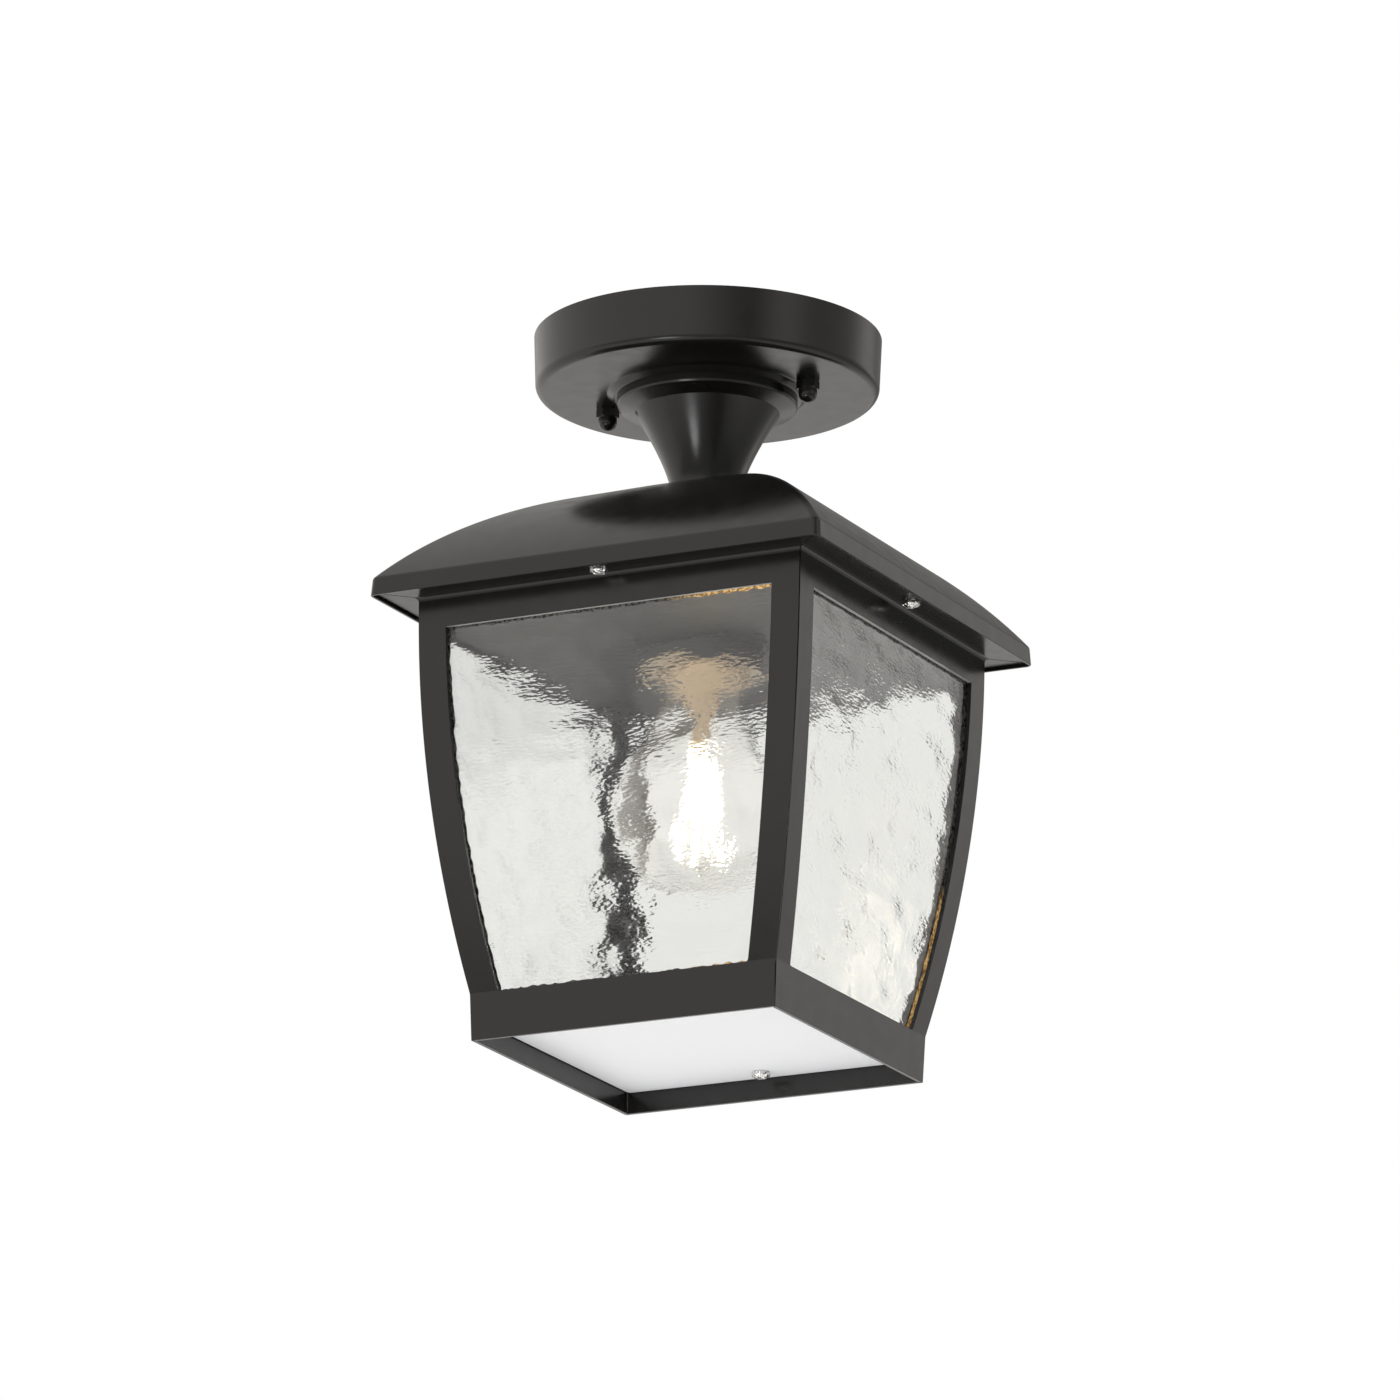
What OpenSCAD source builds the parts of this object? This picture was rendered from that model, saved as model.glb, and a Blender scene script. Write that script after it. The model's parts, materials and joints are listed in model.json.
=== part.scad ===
// Outdoor lantern that hangs close under a ceiling: a round canopy, a trumpet stem, a pillow-shaped
// square roof and a four-sided cage whose faces bow inwards to a short skirt.
// Millimetres. Origin at the centre of the ceiling face, +Z up, so the lantern hangs towards -Z.
// The front face of the cage looks along -Y and the right face along +X.

/* [Canopy] */
// Diameter of the canopy at its lower edge
canopy_d = 120; // [112:1:140]
// Height of the canopy, from the ceiling to its flat underside
canopy_h = 20; // [19:0.5:30]
// How much the ceiling rim stands out past the lower edge, each side
canopy_draft = 0.65; // [0:0.05:1.5]
// Radius of the rounded lower edge
canopy_edge_r = 3; // [2:0.25:4]
// Thickness of the spun canopy metal
canopy_wall = 1.2; // [0.8:0.1:1.6]
// Diameter of the step pressed down round the stem
step_d = 66.4; // [65:0.2:68]
// Depth of the pressed step
step_drop = 1.9; // [1:0.1:2.5]

/* [Ceiling bracket] */
// Length of the crossbar
bracket_l = 100; // [94:1:104]
// Width of the crossbar
bracket_w = 20; // [18:1:22]
// Thickness of the crossbar steel
bracket_t = 1.5; // [1:0.1:2]
// Distance between the two canopy studs
stud_pitch = 78; // [77:0.5:82]
// Distance between the centres of the two ceiling slots
slot_pitch = 40; // [39:0.5:41]
// Length of each ceiling slot, end to end
slot_l = 12; // [9:0.5:12.5]
// Width of each ceiling slot
slot_w = 5; // [4:0.1:5.5]
// Diameter of the cable hole in the middle of the crossbar
cable_hole_d = 14; // [10:0.5:16]

/* [Stem] */
// Height of the stem, from the canopy step to the roof
stem_h = 32.7; // [28:0.1:45]
// Diameter of the flange under the canopy
stem_flange_d = 63; // [60:0.5:64]
// Height of the flange rim
stem_rim_h = 3; // [2:0.1:4]
// Height of the whole flange, down to where the trumpet starts
stem_flange_h = 5.1; // [4.2:0.1:6]
// Diameter of the trumpet under the flange
stem_top_d = 50.4; // [44:0.2:54]
// Diameter of the foot on the roof
stem_foot_d = 25; // [22:0.5:26]
// How hollow the trumpet's outline is: 1 is a straight cone
stem_curve = 1.35; // [1:0.05:2]
// Wall of the stem casting
stem_wall = 1.8; // [1.2:0.1:2.5]

/* [Roof] */
// Width of the square roof across its lower edge
roof_w = 171.6; // [168:0.2:180]
// Width of the flat crown under the stem
crown_w = 26; // [25:0.5:30]
// Slope of the upper, straight part of the roof
roof_pitch = 21; // [16:0.5:25]
// Radius of the curve from that slope to the eave
roof_bow_r = 118; // [105:1:125]
// Slope of the roof at the eave
eave_slope = 51; // [46:0.5:54]
// Radius of the bend between roof and fascia
eave_r = 2; // [1.6:0.1:2.5]
// Height of the fascia below the bend
fascia_h = 5.5; // [4.8:0.1:8]
// How much the fascia flares out towards its lower edge, each side
fascia_flare = 0.5; // [0:0.1:0.8]
// Radius of the fascia's four upright corners
fascia_corner_r = 3; // [2:0.25:4]
// Thickness of the roof sheet
roof_wall = 1.2; // [0.8:0.1:1.4]

/* [Cage] */
// Width of the cage where it meets the soffit
cage_top_w = 145.9; // [142:0.2:148]
// Height of the bowed faces, from soffit to fold
cage_h = 138.1; // [132:0.2:142]
// Radius of the bow of each face
cage_bow_r = 650; // [620:5:700]
// Height of the skirt under the fold
skirt_h = 16.4; // [16:0.2:20]
// How much the skirt draws in towards its lower edge, each side
skirt_draft = 0.6; // [0:0.1:0.8]
// Thickness of the cage sheet
cage_wall = 1.5; // [1.2:0.1:1.8]
// Width of the stiles beside each window
stile_w = 10.7; // [10:0.1:12]
// Height of the rail above each window
top_rail_h = 11.5; // [10:0.1:12.5]
// Radius of the lower window corners
window_corner_r = 1.5; // [1:0.25:2]
// Width of the seam between two neighbouring panels
seam_w = 0.3; // [0.1:0.05:0.5]
// Radius of the bend between face and soffit
soffit_bend_r = 1.6; // [1:0.1:2]
// How far the soffit lies above the lower edge of the fascia
soffit_recess = 1; // [0.5:0.1:1.5]
// Gap between soffit and fascia
soffit_gap = 0.6; // [0.3:0.1:1]

/* [Glass] */
// Thickness of the panes
glass_t = 3; // [2.5:0.1:3.2]
// How far each pane reaches behind the stiles
glass_overlap = 2.5; // [1.5:0.1:2.8]
// How far each pane reaches below its window
glass_drop = 3.8; // [3:0.1:4]

/* [Bottom plate] */
// Thickness of the opal plate
opal_t = 2; // [1.5:0.1:2.4]
// How far the plate lies above the skirt's lower edge
opal_recess = 7.4; // [6.8:0.1:7.8]
// Distance from the centre to each plate screw
opal_screw_r = 47.5; // [44:0.5:49]

/* [Screws] */
// Thread diameter of the soffit and plate screws
screw_d = 3; // [2.5:0.1:3.2]
// Head diameter of those screws
screw_head_d = 5.8; // [5:0.1:6.2]
// Head height of those screws
screw_head_h = 2; // [1.6:0.1:2.2]
// Length of the soffit screws under the head
screw_l = 7; // [5.5:0.5:7.5]
// Length of the plate screws under the head
plate_screw_l = 5; // [4:0.5:6]
// Thread diameter of the canopy studs
stud_d = 4; // [3.6:0.1:4.4]
// Outside diameter of the hollow threaded tube
tube_d = 10; // [9:0.5:11]
// Bore of the hollow threaded tube
tube_bore = 8; // [7.6:0.1:8.2]

/* [Lamp] */
// Diameter of the bulb's globe
globe_d = 60; // [56:1:64]
// Length of the bulb from its contact to its tip
bulb_l = 105; // [102:1:108]
// Diameter of the bulb's screw cap
cap_d = 26.4; // [26:0.1:26.8]
// Depth of the lamp holder under the roof crown, down to its rim
holder_drop = 67.4; // [66:0.2:70]
// Depth of the bulb's seat inside the holder's rim
seat_depth = 27; // [26:0.5:28]
// Diameter of the lamp holder's steel cup
cup_d = 43.2; // [42:0.2:46]
// Height of that cup
cup_h = 49.2; // [48:0.2:52]

/* [Hidden] */

$fn = 96;
FINE = 360;
ARC_STEPS = 12;
BIG = 400;
RUN = 0.05;
SEAT = 0.1;
SIDES = [0, 90, 180, 270];

function arc(c, r, a0, a1, n = ARC_STEPS) =
    [for (i = [0:n]) let (a = a0 + (a1 - a0) * i / n) [c[0] + r * sin(a), c[1] + r * cos(a)]];
function reversed(points) = [for (i = [len(points) - 1:-1:0]) points[i]];
function mirrored(points) = concat(points, [for (p = reversed(points)) [-p[0], p[1]]]);
function unit(v) = v / norm(v);

// Heights down the lantern
step_z = -canopy_h - step_drop;
crown_z = step_z - stem_h;
rim_z = crown_z - holder_drop;

// Roof outline: flat crown, straight slope, long bow, small bend, flared fascia
eave_half = roof_w / 2 - fascia_flare;
bow_x = eave_half - eave_r - (roof_bow_r - eave_r) * sin(eave_slope);
bow_start_x = bow_x + roof_bow_r * sin(roof_pitch);
bow_start_z = crown_z - (bow_start_x - crown_w / 2) * tan(roof_pitch);
bow_z = bow_start_z - roof_bow_r * cos(roof_pitch);
bend_x = bow_x + (roof_bow_r - eave_r) * sin(eave_slope);
bend_z = bow_z + (roof_bow_r - eave_r) * cos(eave_slope);
fascia_z = bend_z - fascia_h;

// Cage
cage_half = cage_top_w / 2;
soffit_z = fascia_z + soffit_recess;
fold_z = soffit_z - cage_h;
skirt_z = fold_z - skirt_h;
window_top_z = soffit_z - top_rail_h;
soffit_half = roof_w / 2 - fascia_flare * soffit_recess / fascia_h - roof_wall - soffit_gap;
eave_screw_r = (soffit_half + cage_half) / 2 + 0.9;
function half_at(z) = cage_half - cage_bow_r + sqrt(pow(cage_bow_r, 2) - pow(soffit_z - z, 2));
fold_half = half_at(fold_z);
skirt_half = fold_half - skirt_draft;

// Glass and bottom plate
glass_in = cage_wall + SEAT;
glass_top_z = window_top_z + cage_wall - SEAT;
glass_z = fold_z - glass_drop;
opal_z = skirt_z + opal_recess;
cover_z = window_top_z + cage_wall;
cover_t = 1;
clip_t = 0.8;
clip_leg = 7.5;
clip_h = 6;
clip_drop = 0.4;
gusset_t = 1;
gusset_leg = 20;
tab_t = 1.2;
tab_w = 14;
tab_h = glass_z - 3 * SEAT - opal_z - opal_t;
tab_edge = 5;

// Nuts, washers and the tube that ties canopy, stem, roof and lamp holder together
nut_af = 1.4 * tube_d;
nut_h = 4;
washer_d = 22;
washer_t = 1.2;
tube_out = 3.5;
floor_z = step_z + canopy_wall;
tube_top_z = floor_z + washer_t + nut_h + tube_out;
cup_wall = 1;
holder_rim_t = 1.2;
cup_top_z = rim_z + holder_rim_t + cup_h;
tube_end_z = cup_top_z - cup_wall - nut_h - 0.6;

// Canopy studs
stud_nut_af = 1.75 * stud_d;
stud_nut_h = 0.8 * stud_d;
cap_nut_h = 2 * stud_d;
stud_out = 7;

// Terminal block under the bracket's tab
block_w = 26;
block_d = 16;
block_h = 11;
block_y = bracket_w / 2 + 3;
pole_pitch = 8;
pole_z = -bracket_t - 6;
earth_screw_x = -(slot_pitch + slot_l) / 2 - 4.5;
earth_head_r = 3;
earth_head_h = 2.4;

// Lamp holder
cup_r = cup_d / 2;
mouth_r = 16;
sleeve_t = 0.6;
sleeve_r = cap_d / 2 + 0.08 + sleeve_t;
sleeve_in = 2.4;
sleeve_l = 21.6;
sleeve_z = rim_z + sleeve_in;
sleeve_top_z = sleeve_z + sleeve_l;
web_z = rim_z + seat_depth + 2.7;
web_t = 4.3;
chamber_r = 17.5;
porcelain_top_z = tube_end_z - 0.8;
terminal_x = 9;
terminal_s = 6;
terminal_top_z = web_z + web_t + terminal_s;

// Bulb
contact_z = rim_z + seat_depth;
tip_z = contact_z - bulb_l;
globe_r = globe_d / 2;
globe_z = tip_z + globe_r;
glass_wall = 0.8;
neck_r = 13.6;
neck_flare_r = 42;
neck_flare_z = globe_z + sqrt(pow(globe_r + neck_flare_r, 2) - pow(neck_r + neck_flare_r, 2));
neck_flare_a = atan2(neck_r + neck_flare_r, neck_flare_z - globe_z);
cap_z = contact_z - 24.8;
cap_top_z = contact_z - 6;
cap_wall = 0.5;
cap_shoulder = 3;
cap_bend = 2;
insulator_r = 6;
contact_t = 2;
contact_d = 9.5;
mount_r = 3.2;
stem_glass_z = globe_z + 22;
filament_l = 38;
filament_r = 0.9;
filament_top_r = 3.6;
filament_low_r = 8;
filament_top_z = stem_glass_z - 2;
filament_low_z = filament_top_z - filament_l;

// Wires
wire_d = 1.9;
WIRE_SIDES = 8;
WIRE_STEPS = 5;

// Upright ring of outside diameter d round a hole, standing on z
module ring(d, hole, h, z) {
    translate([0, 0, z]) difference() {
        cylinder(d = d, h = h);
        translate([0, 0, -1]) cylinder(d = hole, h = h + 2);
    }
}

// Hexagon nut across flats af, with a flat towards +X
module hex_nut(af, hole, h, z) {
    translate([0, 0, z]) difference() {
        rotate(30) cylinder(d = af / cos(30), h = h, $fn = 6);
        translate([0, 0, -1]) cylinder(d = hole, h = h + 2);
    }
}

// Pan-head screw with a cross slot, head down: the head's seat is at z and the shank rises l above it
module pan_screw(d, head_d, head_h, l, z) {
    edge = head_h * 0.35;
    dome_r = head_d * 0.75;
    slot_w = head_d * 0.12;
    slot_l = head_d * 0.55;
    translate([0, 0, z]) difference() {
        union() {
            cylinder(d = d, h = l);
            mirror([0, 0, 1]) intersection() {
                cylinder(d = head_d, h = head_h);
                translate([0, 0, head_h - dome_r]) sphere(r = dome_r);
            }
            mirror([0, 0, 1]) cylinder(d = head_d, h = edge);
        }
        for (a = [0, 90]) rotate(a)
            translate([-slot_l / 2, -slot_w / 2, -head_h - 1]) cube([slot_l, slot_w, 1 + head_h * 0.6]);
    }
}

module at_studs() {
    for (side = [-1, 1]) translate([side * stud_pitch / 2, 0, 0]) children();
}

// Ceiling bracket
module slot_cut(l, w) {
    for (side = [-1, 1]) translate([side * (l - w) / 2, 0, -bracket_t - 1])
        cylinder(d = w, h = bracket_t + 2);
    translate([-(l - w) / 2, -w / 2, -bracket_t - 1]) cube([l - w, w, bracket_t + 2]);
}
module ceiling_bracket() {
    tab_half = block_w / 2 + 2;
    color("gainsboro") difference() {
        union() {
            translate([-bracket_l / 2, -bracket_w / 2, -bracket_t]) cube([bracket_l, bracket_w, bracket_t]);
            translate([-tab_half, 0, -bracket_t]) cube([2 * tab_half, block_y + block_d + 2, bracket_t]);
        }
        for (side = [-1, 1]) translate([side * slot_pitch / 2, 0, 0]) slot_cut(slot_l, slot_w);
        translate([0, 0, -bracket_t - 1]) cylinder(d = cable_hole_d, h = bracket_t + 2);
        at_studs() translate([0, 0, -bracket_t - 1]) cylinder(d = stud_d + 2 * RUN, h = bracket_t + 2);
        translate([earth_screw_x, 0, -bracket_t - 1]) cylinder(d = stud_d + 2 * RUN, h = bracket_t + 2);
    }
}
module bracket_studs() {
    top = 0.2;
    color("silver") at_studs() translate([0, 0, -canopy_h - stud_out])
        cylinder(d = stud_d, h = canopy_h + stud_out - top);
}
module stud_locknuts() {
    color("silver") at_studs() hex_nut(stud_nut_af, stud_d + 2 * RUN, stud_nut_h, -bracket_t - stud_nut_h);
}

// Canopy outline, from the ceiling rim to the flat of the pressed step
function canopy_side(inset) =
    let (r = canopy_d / 2, e = canopy_edge_r, s = step_d / 2, slope = 1.6)
    concat(
        [[r + canopy_draft - inset, 0]],
        arc([r - e, -canopy_h + e], e - inset, 90, 180, 8),
        [[s + slope, -canopy_h + inset], [s + slope * 0.3, -canopy_h - step_drop * 0.8 + inset]],
        [[s - slope * 0.3, step_z + inset]]
    );
module canopy() {
    hole_r = tube_d / 2 + RUN;
    color([0.13, 0.13, 0.13]) difference() {
        rotate_extrude($fn = 180) polygon(concat(
            canopy_side(0),
            [[hole_r, step_z], [hole_r, floor_z]],
            reversed(canopy_side(canopy_wall))
        ));
        at_studs() translate([0, 0, -canopy_h - 1]) cylinder(d = stud_d + 0.6, h = canopy_wall + 2);
    }
}
module cap_nuts() {
    dome_d = stud_nut_af * 0.93;
    color([0.1, 0.1, 0.1]) at_studs() difference() {
        union() {
            rotate(30) translate([0, 0, -canopy_h - stud_nut_h])
                cylinder(d = stud_nut_af / cos(30), h = stud_nut_h, $fn = 6);
            translate([0, 0, -canopy_h - cap_nut_h + dome_d / 2]) {
                sphere(d = dome_d);
                cylinder(d = dome_d, h = cap_nut_h - stud_nut_h - dome_d / 2 + 1);
            }
        }
        translate([0, 0, -canopy_h - stud_out - 0.2]) cylinder(d = stud_d + 2 * RUN, h = stud_out + 1);
    }
}
module terminal_block() {
    groove = 1;
    color("ivory") difference() {
        translate([-block_w / 2, block_y, -bracket_t - block_h]) cube([block_w, block_d, block_h]);
        for (i = [-1:1]) {
            translate([i * pole_pitch, block_y - 1, pole_z]) rotate([-90, 0, 0])
                cylinder(d = wire_d + 1, h = block_d + 2);
            for (y = [0.25, 0.75])
                translate([i * pole_pitch, block_y + block_d * y, -bracket_t - block_h - 1])
                    cylinder(d = 3.4, h = block_h - 4.5);
        }
        for (i = [-0.5, 0.5])
            translate([i * pole_pitch - groove / 2, block_y - 1, -bracket_t - block_h - 1])
                cube([groove, block_d + 2, 4]);
    }
}
module terminal_screws() {
    color("khaki") for (i = [-1:1]) for (y = [0.25, 0.75])
        translate([i * pole_pitch, block_y + block_d * y, -bracket_t - block_h + 0.8])
            cylinder(d = 3.2, h = 2.6);
}
module earth_screw() {
    color("goldenrod") translate([earth_screw_x, 0, 0])
        pan_screw(stud_d, 2 * earth_head_r, earth_head_h, bracket_t - 0.2, -bracket_t);
}

// Stem and what ties it
module threaded_tube() {
    color("silver") ring(tube_d, tube_bore, tube_top_z - tube_end_z, tube_end_z);
}
module canopy_washer() {
    color("silver") ring(washer_d, tube_d + 2 * RUN, washer_t, floor_z);
}
module canopy_nut() {
    color("silver") hex_nut(nut_af, tube_d + 2 * RUN, nut_h, floor_z + washer_t);
}
// Trumpet outline at a share t of the way from the foot up to the flange
function trumpet(t, inset) =
    [stem_foot_d / 2 + (stem_top_d - stem_foot_d) / 2 * pow(t, stem_curve) - inset,
     crown_z + (stem_h - stem_flange_h) * t];
module stem() {
    foot_t = 2.4;
    rim_r = stem_flange_d / 2;
    hole_r = tube_d / 2 + RUN;
    inside = [for (i = [2:ARC_STEPS]) trumpet(i / ARC_STEPS, stem_wall)];
    color([0.12, 0.12, 0.12]) rotate_extrude($fn = 144) polygon(concat(
        [[hole_r, crown_z + foot_t], [hole_r, crown_z]],
        [for (i = [0:ARC_STEPS]) trumpet(i / ARC_STEPS, 0)],
        arc([rim_r - 0.8, step_z - stem_rim_h + 0.8], 0.8, 150, 90, 5),
        [[rim_r, step_z - 0.8], [rim_r - 0.8, step_z], [stem_top_d / 2 - 0.4, step_z]],
        reversed(inside),
        [[inside[0][0], crown_z + foot_t]]
    ));
}

// Roof
function roof_side(inset) = concat(
    [[crown_w / 2 - inset * tan(roof_pitch / 2), crown_z - inset]],
    arc([bow_x, bow_z], roof_bow_r - inset, roof_pitch, eave_slope, 2 * ARC_STEPS),
    arc([bend_x, bend_z], eave_r - inset, eave_slope, 90, 4),
    [[roof_w / 2 - inset, fascia_z - (inset > 0 ? 1 : 0)]]
);
module roof_solid(inset) {
    r = fascia_corner_r - inset;
    w = roof_w - 2 * inset;
    intersection() {
        rotate([90, 0, 0]) linear_extrude(height = BIG, center = true) polygon(mirrored(roof_side(inset)));
        rotate([90, 0, 90]) linear_extrude(height = BIG, center = true) polygon(mirrored(roof_side(inset)));
        translate([0, 0, fascia_z - 2]) linear_extrude(height = BIG) union() {
            square([w, w - 2 * r], center = true);
            square([w - 2 * r, w], center = true);
            for (x = [-1, 1]) for (y = [-1, 1]) translate([x * (w / 2 - r), y * (w / 2 - r)]) circle(r = r);
        }
    }
}
module roof() {
    color([0.12, 0.12, 0.12]) difference() {
        roof_solid(0);
        roof_solid(roof_wall);
        translate([0, 0, crown_z - 5]) cylinder(d = tube_d + 2 * RUN, h = 10);
    }
}
module roof_washer() {
    color("silver") ring(washer_d, tube_d + 2 * RUN, washer_t, crown_z - roof_wall - washer_t);
}
module roof_nut() {
    color("silver")
        hex_nut(nut_af, tube_d + 2 * RUN, nut_h, crown_z - roof_wall - washer_t - nut_h);
}
// Angle tabs inside the eave that take the soffit screws
module eave_tabs() {
    tab_z = soffit_z + cage_wall;
    outer = eave_half - roof_wall - SEAT;
    shelf = 1.8;
    color([0.15, 0.15, 0.15]) for (a = SIDES) rotate(a) difference() {
        union() {
            translate([-6, -outer, tab_z]) cube([12, outer - cage_half - 0.5, shelf]);
            translate([-6, -outer, tab_z]) cube([12, tab_t, bend_z - tab_z]);
        }
        translate([0, -eave_screw_r, tab_z - 1]) cylinder(d = screw_d + 2 * RUN, h = shelf + 2);
    }
}
module eave_screws() {
    color("silver") for (a = SIDES) rotate(a) translate([0, -eave_screw_r, 0])
        pan_screw(screw_d, screw_head_d, screw_head_h, screw_l, soffit_z);
}

// Lamp holder, hung on the lower end of the threaded tube
module holder_nuts() {
    color("silver") {
        hex_nut(nut_af, tube_d + 2 * RUN, nut_h, cup_top_z);
        hex_nut(nut_af, tube_d + 2 * RUN, nut_h, cup_top_z - cup_wall - nut_h);
    }
}
module holder_cup() {
    fillet = 3;
    hole_r = tube_d / 2 + RUN;
    color([0.1, 0.1, 0.1]) rotate_extrude() polygon(concat(
        [[hole_r, cup_top_z - cup_wall], [hole_r, cup_top_z]],
        arc([cup_r - fillet, cup_top_z - fillet], fillet, 0, 90, 6),
        [[cup_r, rim_z + holder_rim_t], [cup_r - cup_wall, rim_z + holder_rim_t]],
        arc([cup_r - fillet, cup_top_z - fillet], fillet - cup_wall, 90, 0, 6)
    ));
}
module holder_body() {
    wall_r = cup_r - cup_wall - SEAT;
    chamfer = 1;
    rivet_hole_r = 3;
    color("whitesmoke") rotate_extrude() polygon([
        [mouth_r, rim_z],
        [cup_r - 0.4, rim_z],
        [cup_r, rim_z + 0.4],
        [cup_r, rim_z + holder_rim_t],
        [wall_r, rim_z + holder_rim_t],
        [wall_r, porcelain_top_z - chamfer],
        [wall_r - chamfer, porcelain_top_z],
        [chamber_r, porcelain_top_z],
        [chamber_r, web_z + web_t],
        [rivet_hole_r, web_z + web_t],
        [rivet_hole_r, web_z],
        [sleeve_r + SEAT, web_z],
        [sleeve_r + SEAT, sleeve_z - SEAT],
        [mouth_r, sleeve_z - SEAT]
    ]);
}
module holder_sleeve() {
    color("goldenrod") ring(2 * sleeve_r, 2 * (sleeve_r - sleeve_t), sleeve_top_z - sleeve_z, sleeve_z);
}
// Spring tongue over the bulb's contact, riveted through the web
module holder_contact() {
    strip = 0.5;
    rivet_d = 5.8;
    root_z = web_z - strip;
    tongue_z = contact_z + 0.3;
    fold = (root_z + tongue_z) / 2;
    color("peru") {
        translate([0, 0, root_z - strip / 2]) cylinder(d = rivet_d, h = web_t + 2 * strip + 1);
        rotate([90, 0, 0]) linear_extrude(height = 6, center = true) polygon([
            [-3, root_z],
            [8, root_z],
            [9, fold],
            [6, tongue_z],
            [-3, tongue_z],
            [-3, tongue_z + strip],
            [5.8, tongue_z + strip],
            [8.3, fold],
            [7.6, root_z - strip],
            [-3, root_z - strip]
        ]);
    }
}
module holder_terminals() {
    color("khaki") for (side = [-1, 1]) translate([side * terminal_x, 0, web_z + web_t]) difference() {
        translate([-terminal_s / 2, -terminal_s / 2, 0]) cube(terminal_s);
        translate([0, 0, terminal_s - 3]) cylinder(d = wire_d + 0.2, h = 4);
        translate([0, -terminal_s, terminal_s / 3]) rotate([-90, 0, 0]) cylinder(d = 2.4, h = 2 * terminal_s);
    }
}

// Bulb outline, from the tip of the globe up to the neck
function globe_side(inset) = concat(
    arc([0, globe_z], globe_r - inset, 180, neck_flare_a, 2 * ARC_STEPS),
    arc([neck_r + neck_flare_r, neck_flare_z], neck_flare_r + inset, neck_flare_a + 180, 270),
    [[neck_r - inset, cap_z - SEAT]]
);
module bulb_globe() {
    color([0.9, 0.95, 1, 0.3]) rotate_extrude()
        polygon(concat(globe_side(0), reversed(globe_side(glass_wall))));
}
module bulb_cap() {
    r = cap_d / 2;
    inner_bend = cap_bend + 0.6 * cap_wall;
    color("silver") rotate_extrude() polygon([
        [r, cap_z],
        [r, cap_top_z - cap_bend],
        [r - cap_bend, cap_top_z],
        [r - cap_shoulder, cap_top_z],
        [r - cap_shoulder, cap_top_z - cap_wall],
        [r - inner_bend, cap_top_z - cap_wall],
        [r - cap_wall, cap_top_z - inner_bend],
        [r - cap_wall, cap_z]
    ]);
}
module bulb_insulator() {
    color([0.1, 0.1, 0.12]) rotate_extrude() polygon([
        [0, cap_top_z - cap_wall],
        [cap_d / 2 - cap_shoulder, cap_top_z - cap_wall],
        [cap_d / 2 - cap_shoulder, cap_top_z],
        [insulator_r, contact_z - contact_t],
        [0, contact_z - contact_t]
    ]);
}
module bulb_contact() {
    color("silver") translate([0, 0, contact_z - contact_t]) {
        cylinder(d = contact_d, h = contact_t / 2);
        translate([0, 0, contact_t / 2]) cylinder(d1 = contact_d, d2 = contact_d * 0.74, h = contact_t / 2);
    }
}
// Glass stem that carries the filaments inside the globe
module bulb_mount() {
    plate_r = neck_r - glass_wall - SEAT;
    top_z = cap_z - 2;
    drop = top_z - stem_glass_z;
    color([0.9, 0.95, 1, 0.5]) rotate_extrude() polygon([
        [0, top_z],
        [plate_r, top_z],
        [plate_r, top_z - 0.04 * drop],
        [1.7 * mount_r, top_z - 0.2 * drop],
        [mount_r, top_z - 0.5 * drop],
        [mount_r, stem_glass_z + mount_r / 4],
        [mount_r * 0.75, stem_glass_z],
        [0, stem_glass_z]
    ]);
}
function filament_end(i, r, z) = [r * cos(90 * i + 45), r * sin(90 * i + 45), z];
module rod(a, b, r) {
    d = b - a;
    translate(a) rotate([0, acos(d[2] / norm(d)), atan2(d[1], d[0])]) cylinder(r = r, h = norm(d), $fn = 24);
}
module bulb_filaments() {
    color("gold") for (i = [0:3])
        rod(filament_end(i, filament_top_r, filament_top_z), filament_end(i, filament_low_r, filament_low_z),
            filament_r);
}
module bulb_leads() {
    lead_r = 0.35;
    clear = lead_r + SEAT;
    hub_t = 1;
    top_hub_z = stem_glass_z - hub_t;
    low_hub_z = filament_low_z - 4;
    color("silver") {
        translate([0, 0, top_hub_z]) cylinder(d = 4, h = hub_t);
        translate([0, 0, low_hub_z]) cylinder(d = 3, h = hub_t);
        for (i = [0:3]) {
            rod([0, 0, top_hub_z + hub_t / 2], filament_end(i, filament_top_r, filament_top_z + clear), lead_r);
            rod([0, 0, low_hub_z + hub_t / 2], filament_end(i, filament_low_r, filament_low_z - clear), lead_r);
        }
    }
}

// Cage: the bowed faces all follow cylinders of one radius that lie across the faces
module bow(inset, turn) {
    rotate(turn) translate([0, cage_bow_r - cage_half, soffit_z]) rotate([0, 90, 0])
        cylinder(r = cage_bow_r - inset, h = BIG, center = true, $fn = FINE);
}
module slab(z0, z1, half = cage_top_w) {
    translate([-half, -half, z0]) cube([2 * half, 2 * half, z1 - z0]);
}
// Space behind a window of the front face, its sides moved outwards from the stiles by grow
module window_prism(grow, z0, z1) {
    intersection() {
        bow(stile_w - grow, 90);
        bow(stile_w - grow, -90);
        translate([-cage_half, -cage_top_w, z0]) cube([cage_top_w, cage_top_w - 20, z1 - z0]);
    }
}
// The window with its two lower corners rounded
module window_opening() {
    r = window_corner_r;
    lean = asin(cage_h / cage_bow_r);
    reach = r * (1 - sin(lean)) / cos(lean);
    difference() {
        window_prism(0, fold_z, window_top_z);
        for (side = [0, 1]) mirror([side, 0, 0]) translate([fold_half - stile_w, -cage_half, fold_z])
            rotate([-90, 0, 0]) linear_extrude(height = cage_half) polygon(concat(
                arc([-reach, -r], r, 0, 90 - lean, 5),
                [[-reach + (r + 1) * cos(lean), -r + (r + 1) * sin(lean)], [1.5, 1], [-reach, 1]]
            ));
    }
}
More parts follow.
